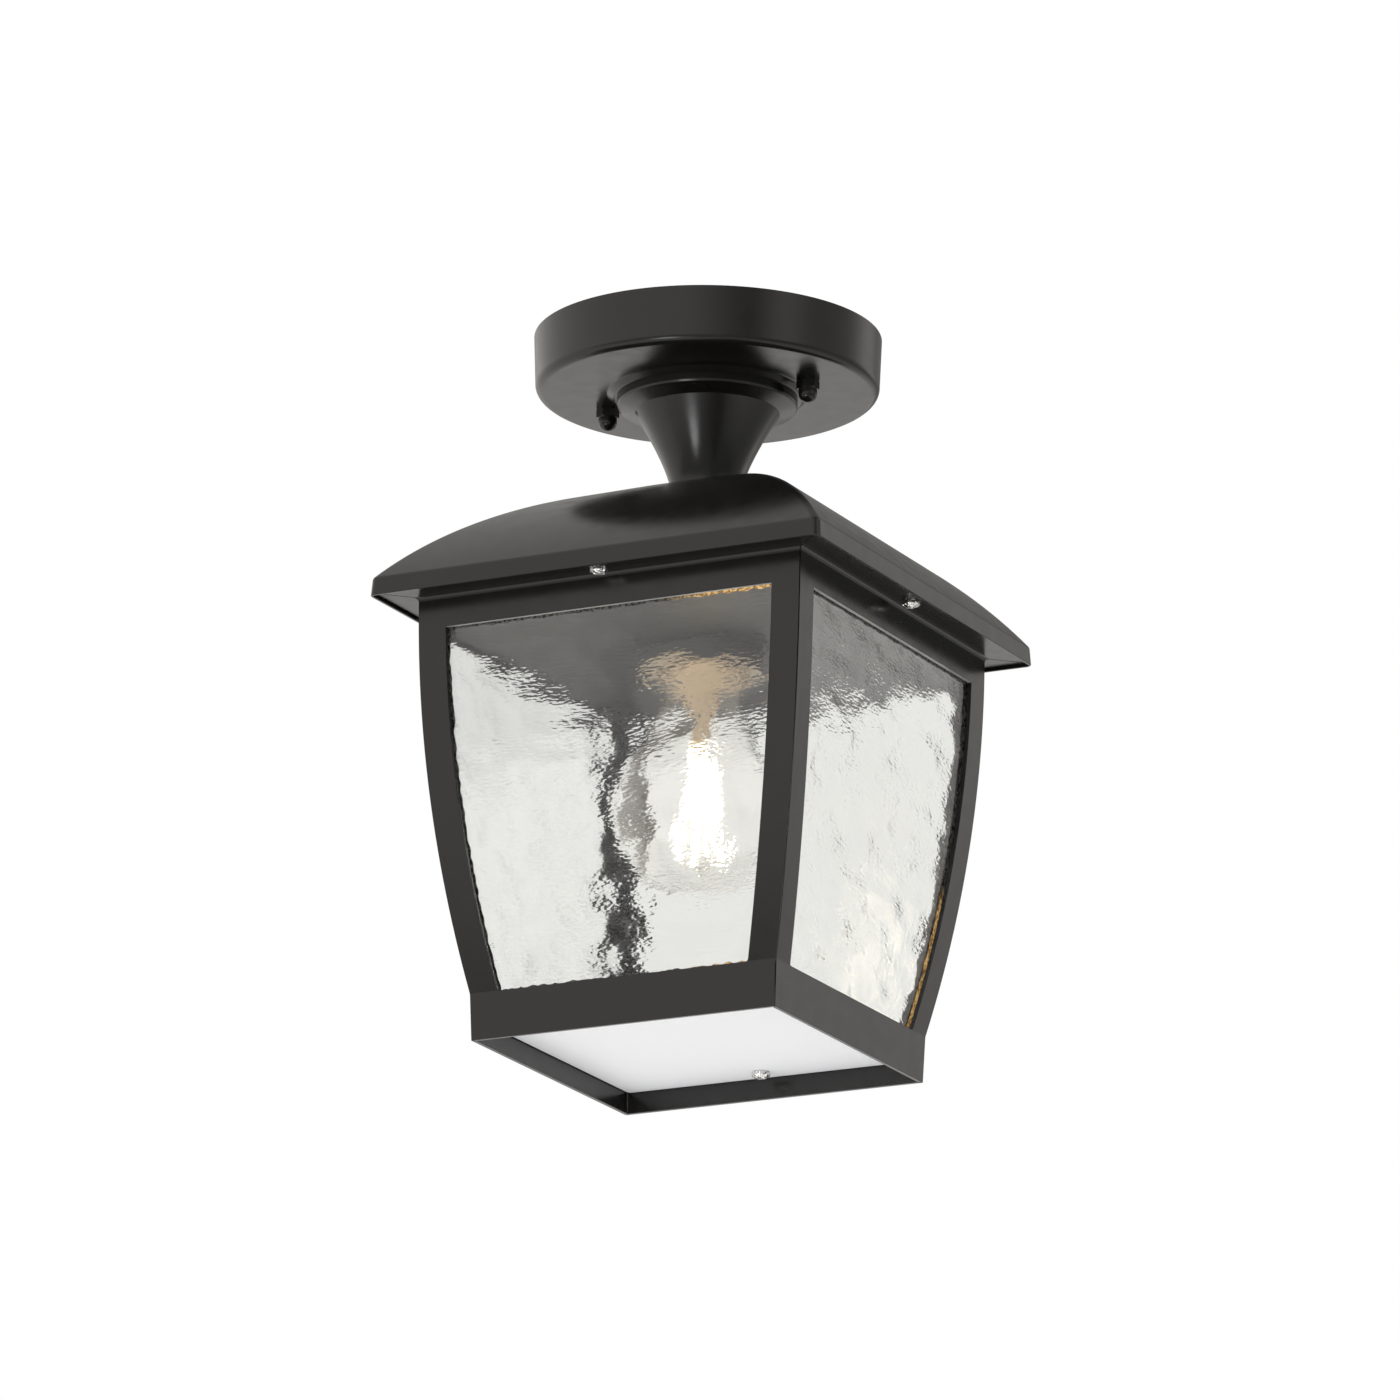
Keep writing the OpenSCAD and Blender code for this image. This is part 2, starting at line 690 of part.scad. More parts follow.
// Everything the front panel can fill: a wedge from the axis, each mitre cut back by gap
module panel_wedge(gap, z0, z1) {
    reach = roof_w;
    translate([0, -gap * sqrt(2), z0]) linear_extrude(height = z1 - z0)
        polygon([[0, 0], [-reach, -reach], [reach, -reach]]);
}
module bowed_sheet() {
    intersection() {
        difference() {
            bow(0, 0);
            bow(cage_wall, 0);
        }
        translate([-cage_top_w, -cage_top_w, fold_z]) cube([2 * cage_top_w, cage_top_w, cage_h + cage_wall]);
    }
}
module across(points) {
    rotate([90, 0, 90]) linear_extrude(height = BIG, center = true) polygon(points);
}
module skirt_sheet() {
    across([
        [-fold_half, fold_z],
        [-skirt_half, skirt_z],
        [-skirt_half + cage_wall, skirt_z],
        [-fold_half + cage_wall, fold_z]
    ]);
}
// Flange turned outwards under the roof, with the small bend where it leaves the face
module soffit_sheet() {
    r = soffit_bend_r;
    bend = reversed(arc([-cage_half - r, -r], r, 0, 90, 6));
    translate([0, 0, soffit_z]) across(concat(
        [[-soffit_half, 0], [-soffit_half, cage_wall], [-cage_half + cage_wall, cage_wall]],
        [[-cage_half + cage_wall, -r - 0.2], [-cage_half + 0.1, -r - 0.2]],
        bend
    ));
}
module panel(turn) {
    color([0.14, 0.14, 0.14]) rotate(turn) union() {
        intersection() {
            panel_wedge(seam_w / 2, fold_z, soffit_z + cage_wall);
            difference() {
                union() {
                    difference() {
                        bowed_sheet();
                        window_opening();
                    }
                    soffit_sheet();
                }
                translate([0, -eave_screw_r, soffit_z - 1]) cylinder(d = screw_d + 0.4, h = cage_wall + 2);
            }
        }
        intersection() {
            panel_wedge(0, skirt_z, fold_z);
            skirt_sheet();
        }
    }
}
module panel_front() { panel(0); }
module panel_right() { panel(90); }
module panel_back() { panel(180); }
module panel_left() { panel(270); }

// Flat plate that closes the cage under the roof and rests on the upper clips
module cover_plate() {
    half = half_at(cover_z) - cage_wall - 2 * SEAT;
    color([0.2, 0.2, 0.2]) difference() {
        slab(cover_z, cover_z + cover_t, half);
        translate([0, 0, cover_z - 1]) cylinder(d = cup_d + 1.2, h = cover_t + 2);
    }
}

// Bent panes of rippled glass, seated against the inside of the bowed sheets
module pane(turn) {
    color([0.8, 0.85, 0.85, 0.35]) rotate(turn) intersection() {
        difference() {
            bow(glass_in, 0);
            bow(glass_in + glass_t, 0);
        }
        window_prism(glass_overlap, glass_z, glass_top_z);
    }
}
module glass_front() { pane(0); }
module glass_right() { pane(90); }
module glass_back() { pane(180); }
module glass_left() { pane(270); }

// Folded clips in the four upright corners: two legs press on the panes and a web is welded to the corner.
// The upper ones carry the cover plate; the lower ones stand on the gussets, hidden by the skirt
module clip_level(z0, z1) {
    inset = glass_in + glass_t + SEAT;
    open_half = half_at((z0 + z1) / 2) - inset - clip_leg;
    web = clip_t / sqrt(2);
    h = z1 - z0;
    intersection() {
        slab(z0, z1);
        union() {
            difference() {
                intersection_for (a = SIDES) bow(inset, a);
                intersection_for (a = SIDES) bow(inset + clip_t, a);
                for (a = [0, 90]) rotate(a) translate([-BIG / 2, -open_half, z0 - h])
                    cube([BIG, 2 * open_half, 3 * h]);
            }
            difference() {
                intersection_for (a = SIDES) bow(cage_wall + SEAT, a);
                intersection_for (a = SIDES) bow(inset + clip_t / 2, a);
                for (a = SIDES) rotate(a) translate([0, -web, z0 - h]) linear_extrude(height = 3 * h)
                    polygon([[0, 0], [BIG, -BIG], [-BIG, -BIG]]);
            }
        }
    }
}
module glass_clips() {
    color([0.15, 0.15, 0.15]) {
        clip_level(cover_z - clip_h, cover_z);
        clip_level(glass_z, fold_z - clip_drop);
    }
}

// Gussets across the skirt's corners: the panes stand on them
module corner_gussets() {
    top = glass_z - SEAT;
    c = fold_half - cage_wall - skirt_draft * (glass_drop + gusset_t) / skirt_h - SEAT;
    color([0.15, 0.15, 0.15]) for (a = SIDES) rotate(a) translate([0, 0, top - gusset_t])
        linear_extrude(height = gusset_t) polygon([[c, -c], [c - gusset_leg, -c], [c, -c + gusset_leg]]);
}

// Bottom plate of opal plastic, its tabs and its screws
module plate_tabs() {
    z = opal_z + opal_t;
    wall_y = skirt_half + skirt_draft * opal_recess / skirt_h - cage_wall - SEAT;
    reach = wall_y - opal_screw_r + tab_edge;
    color([0.15, 0.15, 0.15]) for (a = [0, 180]) rotate(a) difference() {
        union() {
            translate([-tab_w / 2, -wall_y, z]) cube([tab_w, reach, tab_t]);
            translate([-tab_w / 2, -wall_y, z]) cube([tab_w, tab_t, tab_h]);
        }
        translate([0, -opal_screw_r, z - 1]) cylinder(d = screw_d + 2 * RUN, h = tab_t + 2);
    }
}
module opal_plate() {
    color("white") difference() {
        slab(opal_z, opal_z + opal_t, skirt_half - cage_wall - SEAT);
        for (a = [0, 180]) rotate(a) translate([0, -opal_screw_r, opal_z - 1])
            cylinder(d = screw_d + 0.4, h = opal_t + 2);
    }
}
module plate_screws() {
    color("silver") for (a = [0, 180]) rotate(a) translate([0, -opal_screw_r, 0])
        pan_screw(screw_d, screw_head_d, screw_head_h, plate_screw_l, opal_z);
}

// Wires: a round tube swept along a smooth line through hand-set points
function curve_point(a, b, c, d, t) =
    0.5 * (2 * b + (c - a) * t + (2 * a - 5 * b + 4 * c - d) * t * t + (3 * b - a - 3 * c + d) * t * t * t);
function smooth_line(p, n) = concat(
    [for (i = [0:len(p) - 2]) for (k = [0:n - 1])
        curve_point(p[max(i - 1, 0)], p[i], p[i + 1], p[min(i + 2, len(p) - 1)], k / n)],
    [p[len(p) - 1]]
);
function heading(p, i) = unit(p[min(i + 1, len(p) - 1)] - p[max(i - 1, 0)]);
function squared(u, t) = unit(u - (u * t) * t);
function side_vectors(p, i, u) =
    i == len(p) ? [] : let (s = squared(u, heading(p, i))) concat([s], side_vectors(p, i + 1, s));
module wire(route) {
    line = smooth_line(route, WIRE_STEPS);
    side = side_vectors(line, 0, [1, 0.1, 0.05]);
    n = WIRE_SIDES;
    points = [for (i = [0:len(line) - 1]) for (k = [0:n - 1])
        let (a = 360 * k / n, t = heading(line, i))
        line[i] + wire_d / 2 * (cos(a) * side[i] + sin(a) * cross(t, side[i]))];
    faces = concat(
        [[for (k = [0:n - 1]) k]],
        [for (i = [0:len(line) - 2]) for (k = [0:n - 1]) each [
            [i * n + k, (i + 1) * n + k, i * n + (k + 1) % n],
            [i * n + (k + 1) % n, (i + 1) * n + k, (i + 1) * n + (k + 1) % n]
        ]],
        [[for (k = [n - 1:-1:0]) (len(line) - 1) * n + k]]
    );
    polyhedron(points = points, faces = faces, convexity = 4);
}
// Route from a pole of the block, over the end of the tube and down it to a holder terminal
function feed_route(pole, lane, side) = [
    [pole * pole_pitch, block_y + 4, pole_z],
    [pole * pole_pitch, block_y - 2, pole_z],
    [pole * pole_pitch * 0.5 + lane, 5, pole_z + 0.5],
    [lane, 0.6, tube_top_z + 1],
    [lane, 0, tube_top_z - 4],
    [lane, 0, tube_end_z + 2],
    [lane + side * 0.5, 0, tube_end_z - 1.5],
    [side * terminal_x * 0.7, 0, terminal_top_z + 3],
    [side * terminal_x, 0, terminal_top_z + 0.5],
    [side * terminal_x, 0, terminal_top_z - 2]
];
module live_wire() { color("saddlebrown") wire(feed_route(1, 1.7, 1)); }
module neutral_wire() { color("royalblue") wire(feed_route(0, -1.7, -1)); }
module earth_wire() {
    loop_z = -bracket_t - earth_head_h - SEAT - wire_d / 2;
    color("yellowgreen") wire([
        [-pole_pitch, block_y + 4, pole_z],
        [-pole_pitch, block_y - 2, pole_z],
        [-pole_pitch - 5, 5, pole_z + 0.6],
        [earth_screw_x / 2 - 6, 1, loop_z - 0.6],
        [earth_screw_x + earth_head_r, 0, loop_z],
        [earth_screw_x - 1, 0, loop_z]
    ]);
}

ceiling_bracket();
bracket_studs();
stud_locknuts();
canopy();
cap_nuts();
terminal_block();
terminal_screws();
earth_screw();
threaded_tube();
canopy_washer();
canopy_nut();
stem();
roof();
roof_washer();
roof_nut();
eave_tabs();
eave_screws();
holder_nuts();
holder_cup();
holder_body();
holder_sleeve();
holder_contact();
holder_terminals();
bulb_globe();
bulb_cap();
bulb_insulator();
bulb_contact();
bulb_mount();
bulb_filaments();
bulb_leads();
panel_front();
panel_right();
panel_back();
panel_left();
cover_plate();
glass_front();
glass_right();
glass_back();
glass_left();
glass_clips();
corner_gussets();
plate_tabs();
opal_plate();
plate_screws();
live_wire();
neutral_wire();
earth_wire();
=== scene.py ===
"""Looks of the outdoor ceiling lantern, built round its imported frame.

Metres, in the frame's axes: origin at the centre of the ceiling face, +Z up, front face towards -Y.
"""
import json
import math

import bmesh
import bpy
from mathutils import Matrix, Vector, noise

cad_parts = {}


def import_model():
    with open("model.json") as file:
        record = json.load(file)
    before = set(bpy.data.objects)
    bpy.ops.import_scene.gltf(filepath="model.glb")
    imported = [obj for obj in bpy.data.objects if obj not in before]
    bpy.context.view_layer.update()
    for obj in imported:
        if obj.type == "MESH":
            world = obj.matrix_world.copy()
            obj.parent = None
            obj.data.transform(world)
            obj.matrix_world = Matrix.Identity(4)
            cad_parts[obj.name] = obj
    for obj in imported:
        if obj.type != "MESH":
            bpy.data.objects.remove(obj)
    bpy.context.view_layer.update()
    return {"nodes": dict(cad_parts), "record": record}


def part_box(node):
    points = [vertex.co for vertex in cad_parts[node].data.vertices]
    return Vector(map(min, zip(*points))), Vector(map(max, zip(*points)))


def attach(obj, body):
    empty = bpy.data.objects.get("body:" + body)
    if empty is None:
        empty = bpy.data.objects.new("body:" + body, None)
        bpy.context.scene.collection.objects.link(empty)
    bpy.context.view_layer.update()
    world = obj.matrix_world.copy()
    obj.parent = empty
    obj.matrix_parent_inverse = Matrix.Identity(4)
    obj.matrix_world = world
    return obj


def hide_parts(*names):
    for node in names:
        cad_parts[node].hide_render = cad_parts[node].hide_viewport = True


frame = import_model()

MM = 0.001
SAME_POINT = 1e-7
TURN = 2 * math.pi
QUARTERS = {"front": 0, "right": 1, "back": 2, "left": 3}
LANTERN = "lantern"
BULB = "bulb"
PLATE = "bottom_plate"
SECOND_MATERIAL = 1

# Sizes that several pieces share
SHEET = 1.5 * MM
THIN_SHEET = 1.2 * MM
TUBE_HOLE_R = 5.05 * MM


# Sizes read from the frame
def low(name):
    """Lowest corner of a frame node's box."""
    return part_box(name)[0]


def high(name):
    """Highest corner of a frame node's box."""
    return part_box(name)[1]


CANOPY_RIM_R = high("canopy").x
STEP_Z = low("canopy").z
CROWN_Z = high("roof").z
FASCIA_Z = low("roof").z
ROOF_HALF = high("roof").x
SOFFIT_HALF = -low("panel_front").y
SOFFIT_Z = high("panel_front").z - SHEET
SKIRT_Z = low("panel_front").z
GLASS_TOP_Z = high("glass_front").z
GLASS_LOW_Z = low("glass_front").z
TIP_Z = low("bulb_globe").z
GLOBE_R = high("bulb_globe").x
NECK_TOP_Z = high("bulb_globe").z
CUP_R = high("holder_cup").x
CUP_TOP_Z = high("holder_cup").z
RIM_Z = low("holder_body").z

# Cage sizes of the real lantern
CAGE_HALF = 72.95 * MM
CAGE_BOW_R = 650 * MM
CAGE_H = 138.1 * MM
FOLD_Z = SOFFIT_Z - CAGE_H
STILE_W = 10.7 * MM
TOP_RAIL_H = 11.5 * MM
WINDOW_TOP_Z = SOFFIT_Z - TOP_RAIL_H
WINDOW_CORNER_R = 0.7 * MM
SEAM = 0.3 * MM
MITRE_GAP = SEAM / 2 * math.sqrt(2)
SKIRT_DRAFT = 0.6 * MM
SOFFIT_BEND_R = 1.6 * MM
GLASS_IN = SHEET + 0.1 * MM
GLASS_T = 3.0 * MM
GLASS_OVERLAP = 2.5 * MM


def face_half(z, inset=0.0):
    """Distance from the axis to a bowed face at a height."""
    drop = SOFFIT_Z - z
    return CAGE_HALF - CAGE_BOW_R + math.sqrt((CAGE_BOW_R - inset) ** 2 - drop ** 2)


# Outline helpers. An outline is a list of (radius or half width, height) pairs
def arc(centre, radius, start, end, steps):
    """Points on an arc; angles are degrees from +Z towards the outside."""
    points = []
    for i in range(steps + 1):
        angle = math.radians(start + (end - start) * i / steps)
        points.append((centre[0] + radius * math.sin(angle), centre[1] + radius * math.cos(angle)))
    return points


def rounded(points, radius):
    """The open outline with its corners rounded, none past half of a neighbouring side."""
    steps = 4
    slight_bend = math.radians(12)
    side_share = 0.45
    result = [points[0]]
    for before, point, after in zip(points, points[1:], points[2:]):
        here = Vector(point)
        back = Vector(before) - here
        ahead = Vector(after) - here
        bend = math.pi - back.angle(ahead)
        if bend < slight_bend:
            result.append(point)
            continue
        reach = min(radius * math.tan(bend / 2), side_share * back.length, side_share * ahead.length)
        first = here + back.normalized() * reach
        last = here + ahead.normalized() * reach
        for k in range(steps + 1):
            t = k / steps
            spot = first * (1 - t) ** 2 + here * 2 * t * (1 - t) + last * t ** 2
            result.append((spot.x, spot.y))
    return result + [points[-1]]


def soft_ended(half, start, end, soft):
    """Outline of a plate's or stick's side, from start to end, with both ends softly rounded."""
    middle = 0.3 * soft
    near = [(half - soft, start), (half - middle, start + middle), (half, start + soft)]
    return near + [(reach, start + end - place) for reach, place in near[::-1]]


# Objects
def mesh_of(name, builder):
    """A mesh made from a bmesh, which is freed."""
    mesh = bpy.data.meshes.new(name)
    builder.to_mesh(mesh)
    builder.free()
    return mesh


def in_scene(name, data):
    """A new object for a mesh, lamp or camera, linked into the scene."""
    made = bpy.data.objects.new(name, data)
    bpy.context.scene.collection.objects.link(made)
    return made


def finished(name, builder, body, slot, replaced, smooth=35, look=None):
    """Turns a bmesh into a shown piece that rides on a body and stands for frame nodes.

    Edges sharper than the smooth angle, in degrees, stay sharp. A look is the material's name where it
    isn't the slot's.
    """
    bmesh.ops.remove_doubles(builder, verts=builder.verts, dist=SAME_POINT)
    bmesh.ops.recalc_face_normals(builder, faces=builder.faces)
    mesh = mesh_of(name, builder)
    mesh.shade_smooth()
    mesh.set_sharp_from_angle(angle=math.radians(smooth))
    piece = in_scene(name, mesh)
    mesh.materials.append(MATERIALS[look or slot])
    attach(piece, body)
    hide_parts(*replaced)
    return piece


def keep_flats_flat(piece):
    """Shades the flat faces flat and lets only the small rounds between them bend the light."""
    weighted = piece.modifiers.new("weighted", "WEIGHTED_NORMAL")
    weighted.keep_sharp = True
    weighted.weight = 80


def soften_edges(piece, width, segments, angle):
    """Rounds the edges that bend by more than an angle in degrees."""
    bevel = piece.modifiers.new("edges", "BEVEL")
    bevel.width = width
    bevel.segments = segments
    bevel.limit_method = "ANGLE"
    bevel.angle_limit = math.radians(angle)
    bevel.harden_normals = True


def quarter_turn(side):
    """Turns what is built for the front to one of the four sides."""
    return Matrix.Rotation(TURN / 4 * QUARTERS[side], 4, "Z")


def bridge(builder, ring, after):
    """Joins two closed rings by a band of faces, which it gives back."""
    count = len(ring)
    return [
        builder.faces.new((ring[k], ring[(k + 1) % count], after[(k + 1) % count], after[k]))
        for k in range(count)
    ]


def close_stack(builder, rings):
    """Joins rings into a closed plate or stick with flat ends."""
    for ring, after in zip(rings, rings[1:]):
        bridge(builder, ring, after)
    builder.faces.new(rings[0][::-1])
    builder.faces.new(rings[-1])


def hexagon(across_flats):
    """Radius of a hexagon, with a flat towards +X, at an angle."""
    def radius(angle):
        away = (angle + TURN / 12) % (TURN / 6) - TURN / 12
        return across_flats / 2 / math.cos(away)
    return radius


def lathe_into(builder, outline, sides, at=(0, 0), limit=None):
    """Adds a closed outline turned about an upright axis; limit trims its radius by the angle."""
    rings = []
    for i in range(sides):
        angle = TURN * i / sides
        cap = limit(angle) if limit else math.inf
        ring = []
        for r, z in outline:
            reach = min(r, cap)
            x = at[0] + reach * math.cos(angle)
            y = at[1] + reach * math.sin(angle)
            ring.append(builder.verts.new((x, y, z)))
        rings.append(ring)
    on_axis = [r < SAME_POINT for r, z in outline]
    for ring, after in zip(rings, rings[1:] + rings[:1]):
        for k in range(len(outline)):
            n = (k + 1) % len(outline)
            if not (on_axis[k] and on_axis[n]):
                builder.faces.new((ring[k], after[k], after[n], ring[n]))


def lathe(name, outline, body, slot, replaced, sides, look=None):
    """One turned piece."""
    builder = bmesh.new()
    lathe_into(builder, outline, sides)
    keep_flats_flat(finished(name, builder, body, slot, replaced, look=look))


# Node materials. A noise's scale counts its waves to a metre
def feed(tree, target, inputs):
    """Sets or links a node's inputs by name or number."""
    for key, value in inputs.items():
        if isinstance(value, bpy.types.NodeSocket):
            tree.links.new(value, target.inputs[key])
        else:
            target.inputs[key].default_value = value


def node(tree, kind, inputs=None, **settings):
    """Adds a node, sets its properties, and sets or links its inputs."""
    made = tree.nodes.new(kind)
    for key, value in settings.items():
        setattr(made, key, value)
    feed(tree, made, inputs or {})
    return made


def stretched(tree, axes):
    """Object coordinates, scaled per axis."""
    place = node(tree, "ShaderNodeTexCoord").outputs["Object"]
    return node(tree, "ShaderNodeMapping", {"Vector": place, "Scale": axes}).outputs["Vector"]


def noise_value(tree, scale, detail, rough=0.5, axes=(1, 1, 1)):
    """Smooth noise, mostly between 0.3 and 0.7."""
    return node(tree, "ShaderNodeTexNoise", {
        "Vector": stretched(tree, axes), "Scale": scale, "Detail": detail, "Roughness": rough,
    }).outputs["Fac"]


def ranged(tree, value, out_low, out_high, in_low=0.3, in_high=0.7):
    """A value moved from one range to another and held to it."""
    return node(tree, "ShaderNodeMapRange", {
        "Value": value, "From Min": in_low, "From Max": in_high, "To Min": out_low, "To Max": out_high,
    }).outputs["Result"]


def distance_along(tree, output, axis):
    """A place's distance along an axis, in object or generated coordinates."""
    place = node(tree, "ShaderNodeTexCoord").outputs[output]
    return node(tree, "ShaderNodeVectorMath", {0: place, 1: axis}, operation="DOT_PRODUCT").outputs["Value"]


def past(tree, axis, begin, full):
    """0 up to begin and 1 from full on, in metres along an axis of the object."""
    return ranged(tree, distance_along(tree, "Object", axis), 0.0, 1.0, in_low=begin, in_high=full)


def combined(tree, operation, first, second):
    """Two values put together by an operation of the maths node."""
    return node(tree, "ShaderNodeMath", {0: first, 1: second}, operation=operation).outputs[0]


def product(tree, *values):
    """All the values multiplied."""
    result = values[0]
    for value in values[1:]:
        result = combined(tree, "MULTIPLY", result, value)
    return result


def opaque(colour):
    """A colour's three shares with full alpha, or the socket that gives the colour."""
    return colour if isinstance(colour, bpy.types.NodeSocket) else (*colour, 1.0)


def blended(tree, share, first, second):
    """Mixes two colours by a share; the node's inputs 6 and 7 and its output 2 are colours."""
    colours = {0: share, 6: opaque(first), 7: opaque(second)}
    return node(tree, "ShaderNodeMix", colours, data_type="RGBA").outputs[2]


def mixed_value(tree, share, first, second):
    """Mixes two numbers by a share; the node's inputs 2 and 3 and its output 0 are numbers."""
    return node(tree, "ShaderNodeMix", {0: share, 2: first, 3: second}, data_type="FLOAT").outputs[0]


def bumped(tree, height, distance, strength=1.0, **under):
    """A normal bent by a height, on top of the one that may be given."""
    return node(tree, "ShaderNodeBump", {
        "Height": height, "Distance": distance, "Strength": strength, **under,
    }).outputs["Normal"]


def ray(tree, kind):
    """1 for the rays of a kind, and 0 for all others."""
    return node(tree, "ShaderNodeLightPath").outputs[f"Is {kind} Ray"]


def start(name):
    """A new material, its tree and its main shader, already joined to the output."""
    made = bpy.data.materials.new(name)
    made.use_nodes = True
    tree = made.node_tree
    tree.nodes.clear()
    shader = node(tree, "ShaderNodeBsdfPrincipled")
    node(tree, "ShaderNodeOutputMaterial", {"Surface": shader.outputs["BSDF"]})
    return made, tree, shader


def send_mix(tree, share, first, second):
    """Sends a mix of two shaders to the material's output."""
    mix = node(tree, "ShaderNodeMixShader", {0: share, 1: first, 2: second})
    output = next(n for n in tree.nodes if n.type == "OUTPUT_MATERIAL")
    tree.links.new(mix.outputs[0], output.inputs["Surface"])


def specks(tree, spacing, size, share):
    """1 inside rare small dots, such as dust, spaced over the surface."""
    dots = node(tree, "ShaderNodeTexVoronoi", {"Vector": stretched(tree, (1, 1, 1)), "Scale": 1 / spacing})
    near = combined(tree, "LESS_THAN", dots.outputs["Distance"], size / spacing)
    pick = node(tree, "ShaderNodeSeparateColor", {"Color": dots.outputs["Color"]})
    rare = combined(tree, "LESS_THAN", pick.outputs[0], share)
    return product(tree, near, rare)


def powder_coat(name, dark, light, rough_low, rough_high):
    """Satin powder coat: a faint orange peel, uneven gloss and a few specks of dust."""
    made, tree, shader = start(name)
    tone = blended(tree, noise_value(tree, scale=45, detail=3), dark, light)
    dust = specks(tree, spacing=9 * MM, size=0.16 * MM, share=0.22)
    dust_grey = (0.16, 0.15, 0.14)
    gloss = noise_value(tree, scale=160, detail=3)
    peel = noise_value(tree, scale=1100, detail=2)
    feed(tree, shader, {
        "Base Color": blended(tree, dust, tone, dust_grey),
        "Roughness": ranged(tree, gloss, rough_low, rough_high),
        "Normal": bumped(tree, peel, distance=0.012 * MM, strength=0.5),
        "IOR": 1.5,
    })
    return made


def plated(name, colour, worn, rough, dents=0.0):
    """Bright plated metal with fine scratches, a slightly uneven tone and, on struck heads, small dents."""
    made, tree, shader = start(name)
    wear = noise_value(tree, scale=220, detail=4)
    scratches = noise_value(tree, scale=700, detail=5, rough=0.6, axes=(1, 1, 6))
    normal = bumped(tree, scratches, distance=0.01 * MM, strength=0.15)
    if dents:
        normal = bumped(tree, noise_value(tree, scale=900, detail=1), distance=dents, Normal=normal)
    feed(tree, shader, {
        "Base Color": blended(tree, wear, colour, worn),
        "Roughness": ranged(tree, scratches, rough * 0.75, rough * 1.35),
        "Normal": normal,
        "Metallic": 1.0,
    })
    return made


def moulded(name, colour, shade, rough):
    """Moulded plastic or glazed ceramic: an even tone, a faint mottle and a fine grain."""
    made, tree, shader = start(name)
    mottle = noise_value(tree, scale=120, detail=3)
    gloss = noise_value(tree, scale=260, detail=3)
    grain = noise_value(tree, scale=1500, detail=2)
    feed(tree, shader, {
        "Base Color": blended(tree, mottle, colour, shade),
        "Roughness": ranged(tree, gloss, rough * 0.85, rough * 1.15),
        "Normal": bumped(tree, grain, distance=0.01 * MM, strength=0.4),
    })
    return made


def clear_to_lamps(tree, shader, tint):
    """Lets lamp light through a glass shader, which else casts a black shadow."""
    through = node(tree, "ShaderNodeBsdfTransparent", {"Color": opaque(tint)})
    send_mix(tree, ray(tree, "Shadow"), shader.outputs["BSDF"], through.outputs["BSDF"])


def water_glass(name):
    """Clear rolled glass: fine wavelets in drifts, over the large cells that the mesh itself holds."""
    made, tree, shader = start(name)
    tone = noise_value(tree, scale=40, detail=2)
    wavelets = noise_value(tree, scale=1, detail=1, rough=0.4, axes=(410, 410, 1100))
    drifts = ranged(tree, noise_value(tree, scale=75, detail=1), 0.35, 1.0, in_low=0.40, in_high=0.62)
    feed(tree, shader, {
        "Base Color": blended(tree, tone, (0.90, 0.905, 0.885), (0.925, 0.925, 0.905)),
        "Roughness": 0.065,
        "IOR": 1.5,
        "Transmission Weight": 1.0,
        "Normal": bumped(tree, product(tree, wavelets, drifts), distance=0.14 * MM),
    })
    clear_to_lamps(tree, shader, (0.90, 0.91, 0.89))
    return made


def ground_glass_and_painted_glow(name):
    """Ground border of a pane: grey and mottled, and on the right a painted amber glow, in its colour and
    emission, for the bulb's light that the border catches.
    """
    made, tree, shader = start(name)
    grains = noise_value(tree, scale=800, detail=2, rough=0.6)
    mottle = ranged(tree, grains, 0.0, 1.0, in_low=0.43, in_high=0.57)
    grey = blended(tree, mottle, (0.006, 0.006, 0.005), (0.17, 0.165, 0.155))
    painted_amber_glow = blended(tree, mottle, (0.30, 0.16, 0.04), (1.0, 0.68, 0.28))
    corner = 1 * MM
    foot = past(tree, (0, 0, -1), 190 * MM, 198 * MM)
    head = past(tree, (0, 0, 1), -135 * MM, -130 * MM)
    front_or_left = past(tree, (-1, -1, 0), 0, corner)
    front_or_right = past(tree, (1, -1, 0), 0, corner)
    right_half = past(tree, (1, 0, 0), 20 * MM, 38 * MM)
    ends = combined(tree, "ADD", foot, product(tree, head, front_or_left))
    # Painted light: where the border faces the bulb, an amber colour and a faint emission stand for the
    # bulb's light caught in the glass.
    lit = product(tree, ends, right_half, front_or_right)
    feed(tree, shader, {
        "Base Color": blended(tree, lit, grey, painted_amber_glow),
        "Emission Color": painted_amber_glow,
        "Emission Strength": product(tree, lit, 0.3),
        "Roughness": 0.5,
    })
    return made


def blown_glass(name, tint=(1.0, 1.0, 1.0), rough=0.0, transmission=1.0, glow=0.02):
    """Thin clear bulb glass with slight waves, and a faint warm emission: a painted glow for the bulb's light
    inside it.
    """
    made, tree, shader = start(name)
    tone = noise_value(tree, scale=60, detail=2)
    waves = noise_value(tree, scale=60, detail=1)
    greyer = [0.985 * share for share in tint]
    warm = (1.0, 0.86, 0.70)
    feed(tree, shader, {
        "Base Color": blended(tree, tone, greyer, tint),
        "Roughness": rough,
        "IOR": 1.5,
        "Transmission Weight": transmission,
        "Emission Color": opaque([a * b for a, b in zip(tint, warm)]),
        "Emission Strength": glow,
        "Normal": bumped(tree, waves, distance=0.05 * MM, strength=0.4),
    })
    clear_to_lamps(tree, shader, (0.97, 0.96, 0.94))
    return made


